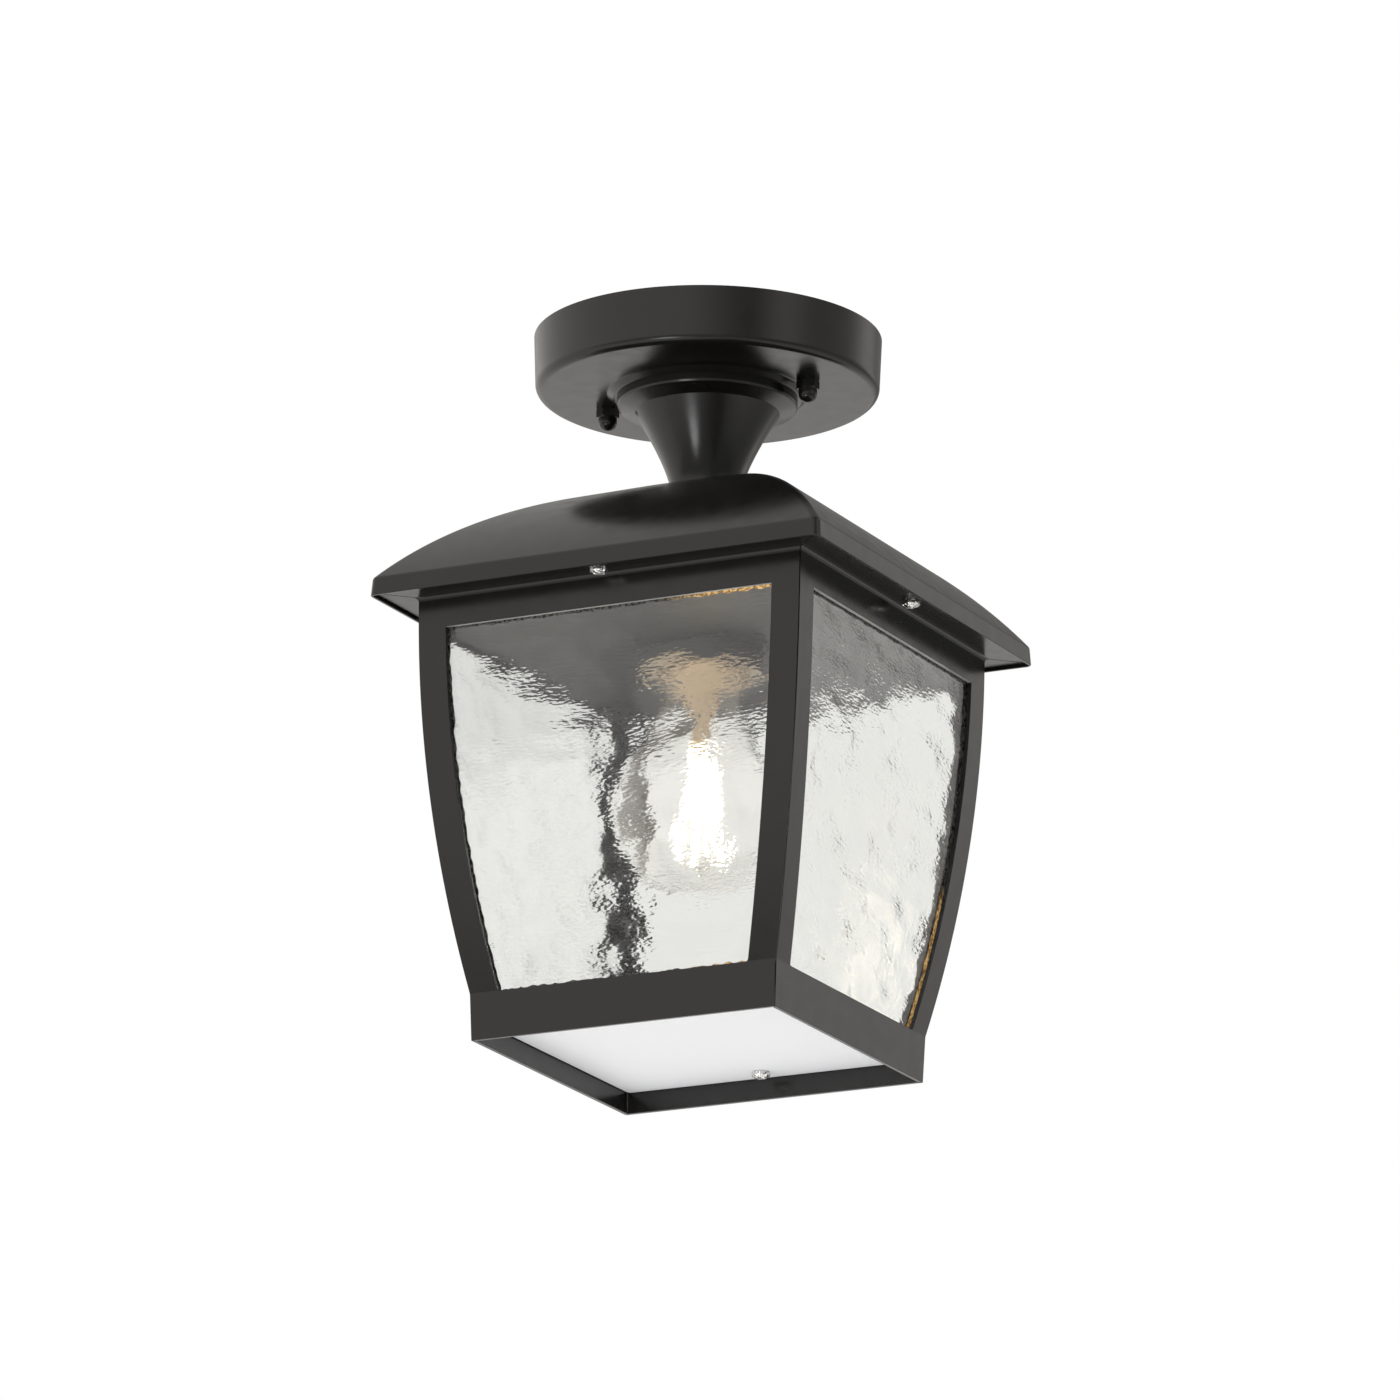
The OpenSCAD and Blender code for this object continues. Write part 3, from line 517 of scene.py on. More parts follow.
def opal(name):
    """Satin opal plastic that lets some light through."""
    made, tree, shader = start(name)
    tone = noise_value(tree, scale=30, detail=2)
    gloss = noise_value(tree, scale=300, detail=2)
    grain = noise_value(tree, scale=900, detail=2)
    feed(tree, shader, {
        "Base Color": blended(tree, tone, (0.84, 0.845, 0.855), (0.86, 0.86, 0.865)),
        "Roughness": ranged(tree, gloss, 0.38, 0.48),
        "Normal": bumped(tree, grain, distance=0.01 * MM, strength=0.3),
        "Subsurface Weight": 0.35,
        "Subsurface Radius": (1.0, 0.95, 0.9),
        "Subsurface Scale": 2.0 * MM,
    })
    return made


def glowing(name, strength):
    """Phosphor coat of a lit filament: yellow where it is cool, white-hot by its own light."""
    made, tree, shader = start(name)
    grain = noise_value(tree, scale=900, detail=3)
    feed(tree, shader, {
        "Base Color": blended(tree, grain, (0.95, 0.72, 0.25), (1.0, 0.82, 0.4)),
        "Roughness": ranged(tree, grain, 0.55, 0.75),
        "Emission Color": opaque((1.0, 0.87, 0.66)),
        "Emission Strength": strength,
    })
    return made


MATERIALS = {
    "black_paint": powder_coat("black_paint", (0.0060, 0.0057, 0.0053), (0.0090, 0.0085, 0.0079), 0.20, 0.27),
    "inner_paint": powder_coat("inner_paint", (0.016, 0.0155, 0.015), (0.024, 0.023, 0.022), 0.42, 0.52),
    # A pale grey for the cut edge over each window: a painted highlight of the light from below.
    "painted_edge_highlight": powder_coat("painted_edge_highlight", (0.24, 0.236, 0.228), (0.31, 0.305, 0.295), 0.30, 0.38),
    # The holder's cup, lighter than the black of its slot: painted light, so that its shaded sides show the
    # tone of the lit plate around it.
    "cup_painted_lighter": powder_coat("cup_painted_lighter", (0.095, 0.093, 0.090), (0.110, 0.107, 0.103), 0.45, 0.55),
    "zinc_steel": plated("zinc_steel", (0.60, 0.60, 0.57), (0.50, 0.49, 0.44), 0.32),
    "screw_steel": plated("screw_steel", (0.80, 0.80, 0.79), (0.70, 0.70, 0.69), 0.13, dents=0.9 * MM),
    "brass": plated("brass", (0.72, 0.52, 0.24), (0.60, 0.42, 0.18), 0.25),
    "nickel": plated("nickel", (0.72, 0.71, 0.68), (0.62, 0.61, 0.58), 0.22),
    # The nickel bulb cap, tinted warm and dulled: a painted reflection of the tan porcelain that it mirrors.
    "cap_painted_reflection": plated("cap_painted_reflection", (0.50, 0.38, 0.26), (0.42, 0.32, 0.22), 0.6),
    "water_glass": water_glass("water_glass"),
    # The pane border's material holds the painted amber glow of the bulb's light.
    "ground_edge_and_painted_glow": ground_glass_and_painted_glow("ground_edge_and_painted_glow"),
    "bulb_glass": blown_glass("bulb_glass"),
    # The bulb's glass mount: a warm tint and a stronger emission, a painted glow for the bulb's light in it.
    "stem_painted_glow": blown_glass("stem_painted_glow", (0.85, 0.73, 0.57), rough=0.6, transmission=0.5, glow=0.09),
    "opal_plastic": opal("opal_plastic"),
    "filament": glowing("filament", strength=7.0),
    # Porcelain: the tan is the warm light of the bulb on a white body, painted into its colour.
    "porcelain": moulded("porcelain", (0.56, 0.44, 0.31), (0.52, 0.40, 0.27), 0.22),
    "block_plastic": moulded("block_plastic", (0.74, 0.73, 0.66), (0.70, 0.69, 0.62), 0.45),
    "cap_glass": moulded("cap_glass", (0.03, 0.03, 0.04), (0.05, 0.05, 0.06), 0.12),
    "brown_wire": moulded("brown_wire", (0.12, 0.045, 0.02), (0.15, 0.06, 0.03), 0.4),
    "blue_wire": moulded("blue_wire", (0.02, 0.10, 0.38), (0.03, 0.13, 0.42), 0.4),
    "green_wire": moulded("green_wire", (0.16, 0.36, 0.03), (0.55, 0.50, 0.03), 0.4),
}


# Canopy and stem
def canopy():
    """Spun round cover with a step pressed down round the stem."""
    draft = 0.65 * MM
    edge_r = 3 * MM
    step_h = 1.9 * MM
    step_r = 34.8 * MM
    land_r = 32.7 * MM
    level_run = 6 * MM
    step_soft = 1.2 * MM
    low_r = CANOPY_RIM_R - draft
    under_z = STEP_Z + step_h

    def side(inset):
        edge = arc((low_r - edge_r, under_z + edge_r), edge_r - inset, 90, 180, 8)
        step = [(step_r + level_run, under_z + inset), (step_r, under_z + inset),
                (land_r, STEP_Z + inset), (land_r - level_run, STEP_Z + inset)]
        return [(CANOPY_RIM_R - inset, 0.0)] + edge + rounded(step, step_soft)
    hole = [(TUBE_HOLE_R, STEP_Z), (TUBE_HOLE_R, STEP_Z + THIN_SHEET)]
    outline = side(0) + hole + side(THIN_SHEET)[::-1]
    lathe("canopy_shell", outline, LANTERN, "black_paint", ["canopy"], sides=192)


def stem():
    """Trumpet casting with a round flange at its head, open inside down to a bored foot."""
    flange_h = 5.1 * MM
    rim_r = high("stem").x
    rim_z = STEP_Z - 3 * MM
    rim_slant_w = 0.4 * MM
    rim_slant_h = 0.8 * MM
    rim_soft = 0.6 * MM
    trumpet_r = 25.2 * MM
    mouth_r = trumpet_r - 0.4 * MM
    foot_r = 12.5 * MM
    foot_t = 2.4 * MM
    wall = 1.8 * MM
    bottom_wall = wall - 0.4 * MM
    curve = 1.35
    steps = 24
    rise = STEP_Z - CROWN_Z - flange_h

    def trumpet(inset):
        return [
            (foot_r + (trumpet_r - foot_r) * (i / steps) ** curve - inset, CROWN_Z + rise * i / steps)
            for i in range(steps + 1)
        ]
    flange = [(rim_r - rim_slant_w, rim_z), (rim_r, rim_z + rim_slant_h), (rim_r, STEP_Z)]
    bottom_z = CROWN_Z + foot_t
    inner = [(mouth_r, STEP_Z)] + [point for point in trumpet(wall)[::-1] if point[1] > bottom_z]
    inner += [(foot_r - bottom_wall, bottom_z), (TUBE_HOLE_R, bottom_z), (TUBE_HOLE_R, CROWN_Z)]
    outline = rounded(trumpet(0) + flange, rim_soft) + inner
    lathe("stem_casting", outline, LANTERN, "black_paint", ["stem"], sides=160)


def cap_nuts():
    """Hexagon cap nuts: chamfered flats and a round dome."""
    top_z = high("cap_nuts").z
    tip_z = low("cap_nuts").z
    flats = 7.0 * MM
    hex_z = top_z - 3.2 * MM
    chamfer_w = 0.35 * MM
    chamfer_h = 0.3 * MM
    neck_w = 0.1 * MM
    neck_h = 0.15 * MM
    dome_share = 0.93
    dome_r = flats * dome_share / 2
    corner_r = flats / 2 / math.cos(TURN / 12)
    from_axis = 39 * MM
    outline = [(0.0, top_z), (corner_r - chamfer_w, top_z), (corner_r, top_z - chamfer_h)]
    outline += [(corner_r, hex_z + chamfer_h), (corner_r - chamfer_w, hex_z)]
    outline += [(dome_r + neck_w, hex_z), (dome_r, hex_z - neck_h)]
    outline += arc((0, tip_z + dome_r), dome_r, 90, 180, 8)[:-1] + [(0.0, tip_z)]
    builder = bmesh.new()
    for x in (-from_axis, from_axis):
        lathe_into(builder, outline, sides=96, at=(x, 0), limit=hexagon(flats))
    keep_flats_flat(finished("cap_nut_pair", builder, LANTERN, "black_paint", ["cap_nuts"], smooth=28))


# Roof
def square_ring(builder, half, z, corner_r):
    """A level square with rounded corners, counted from the front right corner."""
    corner_steps = 6
    largest_share = 0.98
    r = min(corner_r, half * largest_share)
    ring = []
    for quarter in range(4):
        sx = 1 if quarter in (0, 1) else -1
        sy = 1 if quarter in (1, 2) else -1
        for k in range(corner_steps + 1):
            angle = TURN / 4 * (quarter - 1 + k / corner_steps)
            x = sx * (half - r) + r * math.cos(angle)
            y = sy * (half - r) + r * math.sin(angle)
            ring.append(builder.verts.new((x, y, z)))
    return ring


def roof_levels(inset):
    """Outline of the roof's skin: a flat crown, a straight slope, a long bow and a tight bend."""
    crown_half = 13 * MM
    pitch = 21
    eave_slope = 51
    bow_r = 118 * MM
    bend_r = 2 * MM
    flare = 0.5 * MM
    bend_x = ROOF_HALF - flare - bend_r
    bend_z = FASCIA_Z + 5.5 * MM
    bow_x = bend_x - (bow_r - bend_r) * math.sin(math.radians(eave_slope))
    bow_z = bend_z - (bow_r - bend_r) * math.cos(math.radians(eave_slope))
    outline = [(crown_half - inset * math.tan(math.radians(pitch / 2)), CROWN_Z - inset)]
    outline += arc((bow_x, bow_z), bow_r - inset, pitch, eave_slope, 22)
    outline += arc((bend_x, bend_z), bend_r - inset, eave_slope, 90, 5)[1:]
    return outline


def with_soft_crown(outline):
    """The roof's outline with its first corner, the crown's edge, eased over a short way."""
    reach = 3.0 * MM
    pull = 0.3
    sink = 0.45
    (x, z), (next_x, next_z) = outline[:2]
    slope = Vector((next_x - x, next_z - z)).normalized()
    ease = [
        (x - reach, z),
        (x - pull * reach + pull * reach * slope.x, z + sink * reach * slope.y),
        (x + reach * slope.x, z + reach * slope.y),
    ]
    return ease + outline[1:]


def roof():
    """Pillow-shaped sheet with a fascia, rounded hips and a hole for the threaded tube."""
    hip_r = 2.6 * MM
    lip = 0.15 * MM
    lip_h = 0.25 * MM
    fascia_edge = [(ROOF_HALF - lip, FASCIA_Z + lip_h), (ROOF_HALF - 2 * lip, FASCIA_Z)]
    outside = with_soft_crown(roof_levels(0)) + fascia_edge
    inside = roof_levels(THIN_SHEET) + [(ROOF_HALF - THIN_SHEET + lip, FASCIA_Z)]
    builder = bmesh.new()
    rings = [square_ring(builder, half, z, hip_r) for half, z in outside]
    rings += [square_ring(builder, half, z, hip_r - THIN_SHEET) for half, z in inside[::-1]]
    angles = [math.atan2(v.co.y, v.co.x) for v in rings[0]]
    for z in (CROWN_Z - THIN_SHEET, CROWN_Z):
        rings.append([
            builder.verts.new((TUBE_HOLE_R * math.cos(angle), TUBE_HOLE_R * math.sin(angle), z))
            for angle in angles
        ])
    for ring, after in zip(rings, rings[1:] + rings[:1]):
        bridge(builder, ring, after)
    keep_flats_flat(finished("roof_sheet", builder, LANTERN, "black_paint", ["roof"]))


# Cage panels
def window_half(z):
    """Half width of the window at a height, with its lower corners rounded."""
    half = face_half(z) - STILE_W
    up = z - FOLD_Z
    if up < WINDOW_CORNER_R:
        half -= WINDOW_CORNER_R - math.sqrt(max(0.0, WINDOW_CORNER_R ** 2 - (WINDOW_CORNER_R - up) ** 2))
    return half


def levels_above():
    """Outline of a panel above its window: the soffit flange, its bend and the rail."""
    rail_steps = 3
    bend = arc((-(CAGE_HALF + SOFFIT_BEND_R), SOFFIT_Z - SOFFIT_BEND_R), SOFFIT_BEND_R, 0, 90, 6)
    rail_z = bend[-1][1]
    heights = [rail_z + (WINDOW_TOP_Z - rail_z) * i / rail_steps for i in range(1, rail_steps)]
    return [(SOFFIT_HALF, SOFFIT_Z)] + [(-x, z) for x, z in bend] + [(face_half(z), z) for z in heights]


def window_heights():
    """Heights of a panel's rows beside its window, from the top down, closer at its lower corners."""
    face_steps = 26
    corner_angles = (90, 70, 50, 30, 12, 0)
    corners = [FOLD_Z + WINDOW_CORNER_R * (1 - math.cos(math.radians(angle))) for angle in corner_angles]
    fall = corners[0] - WINDOW_TOP_Z
    return [WINDOW_TOP_Z + fall * i / face_steps for i in range(face_steps)] + corners


def levels_below():
    """Outline of a panel below its window: the fold and the drafted skirt."""
    fold_soft = 0.8 * MM
    fold_share = 0.06
    fold_in = 0.02 * MM
    half = face_half(FOLD_Z)
    return [(half - SKIRT_DRAFT * fold_share - fold_in, FOLD_Z - fold_soft), (half - SKIRT_DRAFT, SKIRT_Z)]


def folded_sheet():
    """Outer face of a panel without its thickness: rows of points across it, joined round the window."""
    everywhere = (-1, -0.6, -0.2, 0.2, 0.6, 1)
    window_edges = (-1, 1)
    builder = bmesh.new()

    def row(half, z, window, shares):
        """Points at one level: the two mitres and, between them, shares of the window's half width."""
        edge = half - MITRE_GAP
        xs = [-edge] + [window * share for share in shares] + [edge]
        return [builder.verts.new((x, -half, z)) for x in xs]

    def strips(rows):
        for first, second in zip(rows, rows[1:]):
            for k in range(len(first) - 1):
                builder.faces.new((first[k], first[k + 1], second[k + 1], second[k]))
    above = [row(half, z, window_half(WINDOW_TOP_Z), everywhere) for half, z in levels_above()]
    heights = window_heights()
    beside = []
    for z in heights:
        shares = everywhere if z in (heights[0], heights[-1]) else window_edges
        beside.append(row(face_half(z), z, window_half(z), shares))
    below = [row(half, z, window_half(FOLD_Z), everywhere) for half, z in levels_below()]
    strips(above + beside[:1])
    strips([points[:2] for points in beside])
    strips([points[-2:] for points in beside])
    strips(beside[-1:] + below)
    bmesh.ops.recalc_face_normals(builder, faces=builder.faces)
    front = min(builder.faces, key=lambda face: face.calc_center_median().y)
    if front.normal.y > 0:
        bmesh.ops.reverse_faces(builder, faces=builder.faces)
    return mesh_of("sheet", builder)


def thickened(sheet):
    """The sheet with its thickness behind it, each mitre cut along the diagonal."""
    carrier = in_scene("carrier", sheet)
    solid = carrier.modifiers.new("solid", "SOLIDIFY")
    solid.thickness = SHEET
    solid.offset = -1.0
    solid.use_even_offset = True
    graph = bpy.context.evaluated_depsgraph_get()
    thick = bpy.data.meshes.new_from_object(carrier.evaluated_get(graph))
    bpy.data.objects.remove(carrier)
    for v in thick.vertices:
        limit = -v.co.y - MITRE_GAP
        v.co.x = max(-limit, min(limit, v.co.x))
    return thick


def panel(side):
    """One folded sheet: soffit flange, bowed face with a window, and a quarter of the skirt.

    The cut edge over the window gets a paler grey: a painted highlight for the light from below that it
    catches.
    """
    downwards = -0.9
    near = 0.2 * MM
    thick = thickened(folded_sheet())
    thick.transform(quarter_turn(side))
    builder = bmesh.new()
    builder.from_mesh(thick)
    piece = finished(f"{side}_panel_sheet", builder, LANTERN, "black_paint", [f"panel_{side}"])
    # The faces under the window's top edge take the pale grey of a painted highlight.
    piece.data.materials.append(MATERIALS["painted_edge_highlight"])
    for face in piece.data.polygons:
        if face.normal.z < downwards and abs(face.center.z - WINDOW_TOP_Z) < near:
            face.material_index = SECOND_MATERIAL
    soften_edges(piece, width=0.14 * MM, segments=3, angle=38)
    keep_flats_flat(piece)


# Panes
def relief(x, z, seed, coarse, fine):
    """Depth of the rolled pattern at a point of a pane: large soft cells and smaller ones."""
    cell_w = 11.5 * MM
    cell_h = 7.5 * MM
    small_w = 3.6 * MM
    small_h = 3.0 * MM
    small_seed = seed + 7.3
    cells = noise.noise(Vector((x / cell_w, z / cell_h, seed)))
    small = noise.noise(Vector((x / small_w, z / small_h, small_seed)))
    return coarse * (0.5 + 0.5 * cells) + fine * (0.5 + 0.5 * small)


def wandering(place, seed, line):
    """How far a border's inner line wanders at a place along it."""
    most = 0.8 * MM
    length = 3.5 * MM
    return most * noise.noise(Vector((place / length, seed, line)))


def spaced(k, steps, start, end, first_band, last_band, wave):
    """Place k of the steps from start to end, with a border band at either side and even steps between.

    The wave moves the inner line of each band.
    """
    if k == 0:
        return start
    if k == steps:
        return end
    inner_start = start + first_band
    inner_end = end - last_band
    place = inner_start + (inner_end - inner_start) * (k - 1) / (steps - 2)
    if k == 1:
        return place + wave
    if k == steps - 1:
        return place - wave
    return place


def pane_skin(builder, columns, rows, seed, inner):
    """Rows of points on a pane's outer or inner side."""
    edge_soft = 0.4 * MM
    side_band = GLASS_OVERLAP + 0.2 * MM
    top_band = GLASS_TOP_Z - WINDOW_TOP_Z + 0.4 * MM
    low_band = FOLD_Z - GLASS_LOW_Z + 1.3 * MM
    level_line = 1.7
    upright_line = 5.3
    outer_seed = seed + 31
    grid = []
    for j in range(rows + 1):
        line = []
        for i in range(columns + 1):
            wave = wandering(i / columns * 2 * CAGE_HALF, seed, level_line)
            z = spaced(j, rows, GLASS_LOW_Z, GLASS_TOP_Z, low_band, top_band, wave)
            half = face_half(z) - STILE_W + GLASS_OVERLAP
            wave = wandering(z, seed, upright_line)
            x = spaced(i, columns, -half, half, side_band, side_band, wave)
            rim = edge_soft if i in (0, columns) or j in (0, rows) else 0.0
            if inner:
                inset = GLASS_IN + GLASS_T - relief(x, z, seed, coarse=0.75 * MM, fine=0.04 * MM) - rim
            else:
                inset = GLASS_IN + relief(x, z, outer_seed, coarse=0.08 * MM, fine=0.0) + rim
            line.append(builder.verts.new((x, -face_half(z, inset), z)))
        grid.append(line)
    return grid


def rim_of(grid):
    """The border points of a grid, in order."""
    last_row, last_column = len(grid) - 1, len(grid[0]) - 1
    loop = [grid[0][i] for i in range(last_column)]
    loop += [grid[j][last_column] for j in range(last_row)]
    loop += [grid[last_row][i] for i in range(last_column, 0, -1)]
    loop += [grid[j][0] for j in range(last_row, 0, -1)]
    return loop


def pane(side):
    """A bent pane whose inner side carries the rolled cells and, round its border, the ground glass with its
    painted amber glow.
    """
    columns = 104
    rows = 112
    seed = 3.1 + 5.7 * QUARTERS[side]
    builder = bmesh.new()
    outer = pane_skin(builder, columns, rows, seed, inner=False)
    inner = pane_skin(builder, columns, rows, seed, inner=True)
    ground = []
    for grid in (outer, inner):
        for j in range(rows):
            for i in range(columns):
                face = builder.faces.new((grid[j][i], grid[j][i + 1], grid[j + 1][i + 1], grid[j + 1][i]))
                if grid is inner and (i in (0, columns - 1) or j in (0, rows - 1)):
                    ground.append(face)
    ground += bridge(builder, rim_of(outer), rim_of(inner))
    for face in ground:
        face.material_index = SECOND_MATERIAL
    bmesh.ops.rotate(builder, verts=builder.verts, cent=(0, 0, 0), matrix=quarter_turn(side))
    piece = finished(f"{side}_pane", builder, LANTERN, "water_glass", [f"glass_{side}"], smooth=50)
    piece.data.materials.append(MATERIALS["ground_edge_and_painted_glow"])


# Bottom plate
def opal_plate():
    """Flat opal plate with softly rounded corners and edges."""
    edge_soft = 0.5 * MM
    corner_r = 1.6 * MM
    half = high("opal_plate").x
    levels = soft_ended(half, low("opal_plate").z, high("opal_plate").z, edge_soft)
    builder = bmesh.new()
    close_stack(builder, [square_ring(builder, reach, z, corner_r) for reach, z in levels])
    keep_flats_flat(finished("opal_diffuser", builder, PLATE, "opal_plastic", ["opal_plate"]))


# Screws. Their heads stand a little larger than the frame's
FRAME_HEAD_R = 2.9 * MM
HEAD_R = 3.2 * MM
HEAD_H = 2.6 * MM
SHANK_R = 1.5 * MM


def cross_recess(x, y):
    """Share of the full depth of a cross recess at a point of the head, from 0 outside it to 1."""
    reach = HEAD_R * 0.58
    width = HEAD_R * 0.26
    wall = width * 0.22
    rim_share = 0.3

    def arm(along, across):
        inside = min(reach - abs(along), width / 2 - abs(across))
        return max(0.0, min(1.0, inside / wall + rim_share))
    return max(arm(x, y), arm(y, x))


def pan_screw(builder, place, shank_l, turn):
    """Pan-head screw, head down, whose head seats at the height of place."""
    rings = 26
    sides = 72
    top_r = HEAD_R * 0.985
    dome_r = HEAD_R * 1.5
    depth = HEAD_H * 0.62
    edge_h = HEAD_H * 0.35
    edge_z = -edge_h * 0.8
    side_z = -edge_h * 0.6
    chamfer = 0.12 * MM
    tip = 0.4 * MM

    def head_z(r):
        dome = dome_r - HEAD_H - math.sqrt(max(0.0, dome_r ** 2 - r ** 2))
        return min(dome, edge_z)

    def ring(r, z, sunk=0.0):
        """A ring at a height, sunk where the cross recess crosses it."""
        made = []
        for i in range(sides):
            x = r * math.cos(TURN * i / sides)
            y = r * math.sin(TURN * i / sides)
            made.append(builder.verts.new((x, y, z + sunk * cross_recess(x, y))))
        return made
    radii = [top_r * j / rings for j in range(1, rings + 1)]
    stack = [ring(r, head_z(r), depth) for r in radii]
    stack += [ring(HEAD_R, side_z), ring(HEAD_R, -chamfer), ring(HEAD_R - chamfer, 0)]
    stack += [ring(SHANK_R, 0), ring(SHANK_R, shank_l - tip), ring(SHANK_R - tip, shank_l)]
    centre = builder.verts.new((0, 0, head_z(0) + depth))
    for i in range(sides):
        builder.faces.new((centre, stack[0][(i + 1) % sides], stack[0][i]))
    for first, second in zip(stack, stack[1:]):
        bridge(builder, first, second)
    builder.faces.new(stack[-1])
    made = [centre] + [v for level in stack for v in level]
    bmesh.ops.rotate(builder, verts=made, cent=(0, 0, 0), matrix=Matrix.Rotation(turn, 3, "Z"))
    bmesh.ops.translate(builder, verts=made, vec=place)


def soffit_screws():
    """Four screws, one in the middle of each side, each left at another turn."""
    first_turn = 0.5
    further = 1.1
    from_axis = -low("eave_screws").y - FRAME_HEAD_R
    builder = bmesh.new()
    for k in range(4):
        angle = TURN / 4 * k
        place = (from_axis * math.sin(angle), -from_axis * math.cos(angle), SOFFIT_Z)
        pan_screw(builder, place, shank_l=7 * MM, turn=first_turn + further * k)
    finished("soffit_screws", builder, LANTERN, "screw_steel", ["eave_screws"], smooth=40)


def bottom_screws():
    """The two screws that hold the opal plate."""
    first_turn = 0.3
    further = 1.4
    from_axis = high("plate_screws").y - FRAME_HEAD_R
    builder = bmesh.new()
    for k, y in enumerate((-from_axis, from_axis)):
        pan_screw(builder, (0, y, low("opal_plate").z), shank_l=5 * MM, turn=first_turn + further * k)
    finished("bottom_screws", builder, PLATE, "screw_steel", ["plate_screws"], smooth=40)


# Bulb
def globe():
    """Pear-shaped clear globe, one closed thin wall."""
    wall = 0.8 * MM
    neck_r = 13.6 * MM
    flare_r = 42 * MM
    centre_z = TIP_Z + GLOBE_R
    flare_z = centre_z + math.sqrt((GLOBE_R + flare_r) ** 2 - (neck_r + flare_r) ** 2)
    meet = math.degrees(math.atan2(neck_r + flare_r, flare_z - centre_z))

    def skin(inset):
        points = arc((0, centre_z), GLOBE_R - inset, 180, meet, 44)
        points += arc((neck_r + flare_r, flare_z), flare_r + inset, meet + 180, 270, 14)[1:]
        return [(0.0, TIP_Z + inset)] + points[1:] + [(neck_r - inset, NECK_TOP_Z)]
    lathe("globe_glass", skin(0) + skin(wall)[::-1], BULB, "bulb_glass", ["bulb_globe"], sides=128)


def filaments():
    """Four straight filament sticks with rounded ends."""
    top_z = -150 * MM
    low_z = -188 * MM
    top_r = 3.6 * MM
    low_r = 8.0 * MM
    radius = 0.9 * MM
    end_soft = 0.35 * MM
    sides = 24
    builder = bmesh.new()
    for i in range(4):
        angle = TURN / 8 + TURN / 4 * i
        out = Vector((math.cos(angle), math.sin(angle), 0))
        first = out * top_r + Vector((0, 0, top_z))
        last = out * low_r + Vector((0, 0, low_z))
        axis = (last - first).normalized()
        across = axis.orthogonal().normalized()
        other = axis.cross(across)
        rings = []
        for r, along in soft_ended(radius, 0, (last - first).length, end_soft):
            ring = []
            for k in range(sides):
                turn = TURN * k / sides
                spoke = across * math.cos(turn) + other * math.sin(turn)
                ring.append(builder.verts.new(first + axis * along + spoke * r))
            rings.append(ring)
        close_stack(builder, rings)
    finished("filament_sticks", builder, BULB, "filament", ["bulb_filaments"])


# Lamp holder
def holder():
    """Steel cup over the porcelain body, with a rounded shoulder."""
    wall = 1 * MM
    shoulder_r = 3 * MM
    body_rim_t = 1.2 * MM
    foot_z = RIM_Z + body_rim_t
    shoulder = (CUP_R - shoulder_r, CUP_TOP_Z - shoulder_r)
    outline = [(TUBE_HOLE_R, CUP_TOP_Z - wall), (TUBE_HOLE_R, CUP_TOP_Z)]
    outline += arc(shoulder, shoulder_r, 0, 90, 8)
    outline += [(CUP_R, foot_z), (CUP_R - wall, foot_z)]
    outline += arc(shoulder, shoulder_r - wall, 90, 0, 8)
    # The cup wears a lightened paint, painted light over its shade.
    lathe("holder_cup_shell", outline, LANTERN, "inner_paint", ["holder_cup"], sides=128, look="cup_painted_lighter")


# Frame nodes that keep their own shape
def dress_frame_nodes():
    """Gives them their slot's material, or a look of their own, and slightly rounded edges."""
    slots = {row["node"]: row["material_slot"] for row in frame["record"]["subparts"]}
    # Own looks: a painted glow in the bulb's glass mount and a painted warm reflection on its nickel cap.
    looks = {"bulb_mount": "stem_painted_glow", "bulb_cap": "cap_painted_reflection"}
    weld_reach = 0.0005 * MM
    for name, obj in frame["nodes"].items():
        obj.data.materials.clear()
        obj.data.materials.append(MATERIALS[looks.get(name, slots[name])])
        if obj.hide_render:
            continue
        weld = obj.modifiers.new("weld", "WELD")
        weld.merge_threshold = weld_reach
        soften_edges(obj, width=0.12 * MM, segments=2, angle=40)


# Stage and light. The picture's level directions follow from where the camera stands round the lantern
AZIMUTH = math.radians(26.97)
RIGHTWARDS = (math.cos(AZIMUTH), math.sin(AZIMUTH), 0.0)
FORWARDS = (math.sin(AZIMUTH), -math.cos(AZIMUTH), 0.0)


def seen_straight(tree):
    """1 for what the camera sees itself or through glass."""
    return combined(tree, "MAXIMUM", ray(tree, "Camera"), ray(tree, "Transmission"))


def warm_when_mirrored(tree):
    """White, or a slightly warm white for what shiny surfaces mirror."""
    return blended(tree, ray(tree, "Glossy"), (1.0, 1.0, 1.0), (1.0, 0.970, 0.930))


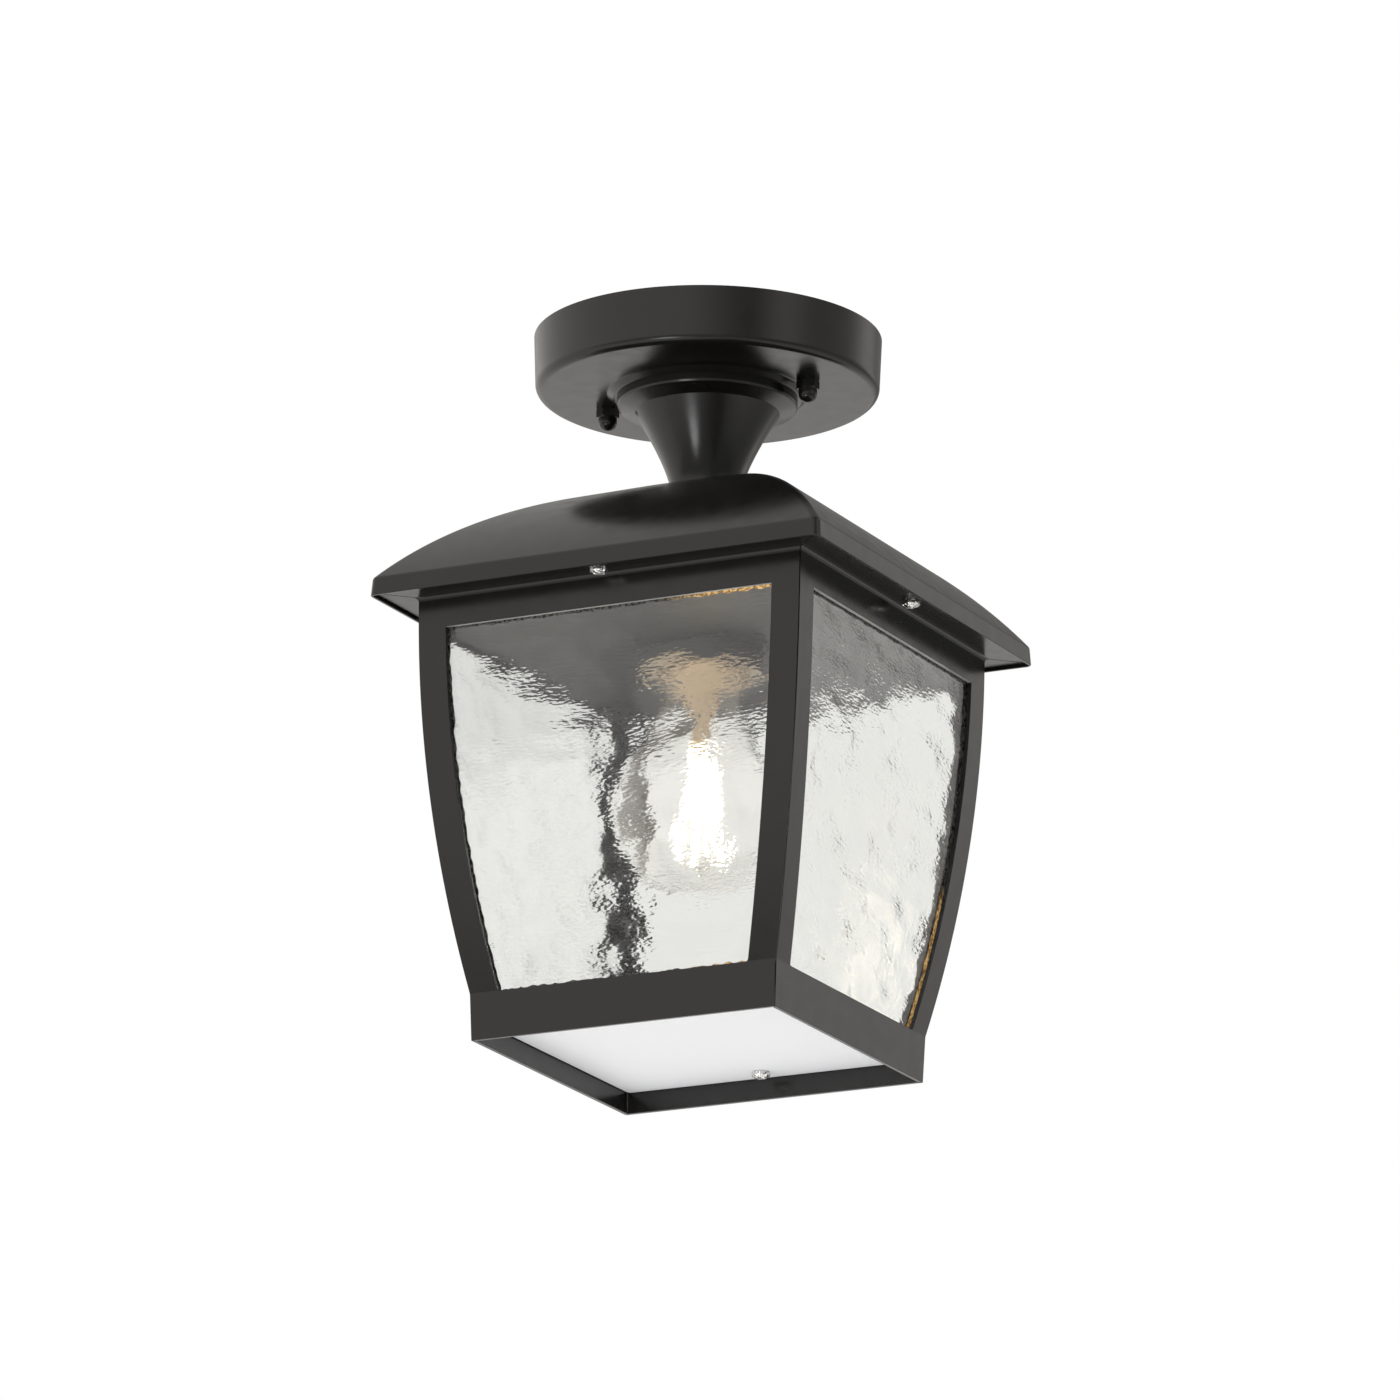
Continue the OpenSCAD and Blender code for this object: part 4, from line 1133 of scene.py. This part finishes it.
def floor():
    """A pale floor at the height of a room's floor. Mirrored, it dims to the right and in front."""
    depth = 2.75
    half = 30.0
    squares = 8
    white_share = 0.8
    builder = bmesh.new()
    bmesh.ops.create_grid(builder, x_segments=squares, y_segments=squares, size=half)
    made = in_scene("floor", mesh_of("floor", builder))
    made.location.z = -depth
    material, tree, shader = start("floor")
    mottle = noise_value(tree, scale=3, detail=3)
    feed(tree, shader, {
        "Base Color": blended(tree, mottle, (0.86, 0.86, 0.86), (0.89, 0.89, 0.89)),
        "Roughness": 0.7,
        "Specular IOR Level": 0.2,
    })
    right = ranged(tree, distance_along(tree, "Object", RIGHTWARDS), 1.0, 0.3, in_low=1.0, in_high=7.0)
    front = ranged(tree, distance_along(tree, "Object", FORWARDS), 1.0, 0.35, in_low=1.5, in_high=3.5)
    level = mixed_value(tree, ray(tree, "Glossy"), 1.0, product(tree, right, front))
    white = node(tree, "ShaderNodeEmission", {"Color": warm_when_mirrored(tree), "Strength": level})
    seen = combined(tree, "MAXIMUM", seen_straight(tree), ray(tree, "Glossy"))
    send_mix(tree, product(tree, seen, white_share), shader.outputs["BSDF"], white.outputs["Emission"])
    made.data.materials.append(material)


def mirrored_room(tree):
    """Brightness that shiny surfaces mirror: full on the left, dim overhead and on the right.

    One bright wall stands on the right, and past it the room is darker again.
    """
    towards_dim = (0.814, 0.581, 0.0)
    up = (0.0, 0.0, 1.0)
    along = distance_along(tree, "Generated", RIGHTWARDS)
    fall = ranged(tree, distance_along(tree, "Generated", towards_dim), 1.0, 0.28, in_low=-0.35, in_high=0.25)
    zenith = ranged(tree, distance_along(tree, "Generated", up), 1.0, 0.4, in_low=0.90, in_high=0.99)
    wall = ranged(tree, along, 0.0, 0.7, in_low=0.5, in_high=0.72)
    past_wall = ranged(tree, along, 0.0, -0.55, in_low=0.80, in_high=0.93)
    lit = combined(tree, "ADD", product(tree, fall, zenith), wall)
    return combined(tree, "ADD", lit, past_wall)


def world():
    """White surroundings, a little dimmer for the light that they throw on matt surfaces."""
    matt_light = 0.80
    made = bpy.data.worlds.new("studio")
    bpy.context.scene.world = made
    made.use_nodes = True
    tree = made.node_tree
    tree.nodes.clear()
    room = mixed_value(tree, ray(tree, "Glossy"), matt_light, mirrored_room(tree))
    fill = node(tree, "ShaderNodeBackground", {"Color": warm_when_mirrored(tree), "Strength": room})
    white = node(tree, "ShaderNodeBackground", {"Color": (1, 1, 1, 1), "Strength": 1.0})
    mix = node(tree, "ShaderNodeMixShader", {
        0: seen_straight(tree), 1: fill.outputs["Background"], 2: white.outputs["Background"],
    })
    node(tree, "ShaderNodeOutputWorld", {"Surface": mix.outputs[0]})


def lamp(name, place, target, size, watts, mirrored=False):
    """A round area lamp that isn't seen itself; shiny surfaces show it where it is mirrored."""
    data = bpy.data.lights.new(name, "AREA")
    data.shape = "DISK"
    data.size = size
    data.energy = watts
    made = in_scene(name, data)
    made.location = place
    made.rotation_mode = "QUATERNION"
    made.rotation_quaternion = (Vector(target) - Vector(place)).to_track_quat("-Z", "Y")
    made.visible_glossy = mirrored
    made.visible_camera = False
    made.visible_transmission = False


# Camera
def camera():
    """The photograph's viewpoint, worked out from the lantern's own corners."""
    picture = 1400
    focal_pixels = 9936.65
    centre_pixel_x = 703.31
    elevation = math.radians(-16.32)
    roll = math.radians(0.75)
    place = (1.49252, -2.93311, -1.09420)
    data = bpy.data.cameras.new("camera")
    data.sensor_width = 36.0
    data.lens = focal_pixels / picture * data.sensor_width
    data.shift_x = -(centre_pixel_x - picture / 2) / picture
    data.clip_start = 0.05
    data.clip_end = 200.0
    right = Vector(RIGHTWARDS)
    back = Vector(FORWARDS) * math.cos(elevation) + Vector((0.0, 0.0, math.sin(elevation)))
    up = back.cross(right)
    turned_right = right * math.cos(roll) + up * math.sin(roll)
    turned_up = up * math.cos(roll) - right * math.sin(roll)
    basis = Matrix((turned_right, turned_up, back)).transposed()
    made = in_scene("camera", data)
    made.matrix_world = Matrix.Translation(place) @ basis.to_4x4()
    bpy.context.scene.camera = made


canopy()
stem()
cap_nuts()
roof()
for name in QUARTERS:
    panel(name)
    pane(name)
opal_plate()
soffit_screws()
bottom_screws()
globe()
filaments()
holder()
dress_frame_nodes()
floor()
world()
lamp("key", place=(-1.6, -1.8, -0.9), target=(0, 0, -0.15), size=1.4, watts=16)
lamp("strip", place=(-0.10, -2.0, -1.39), target=(0, 0, -0.04), size=0.6, watts=5, mirrored=True)
lamp("bounce", place=(0.1, -0.5, -2.2), target=(0, 0, -0.15), size=0.6, watts=8, mirrored=True)
camera()
bpy.context.scene.view_settings.view_transform = "Standard"
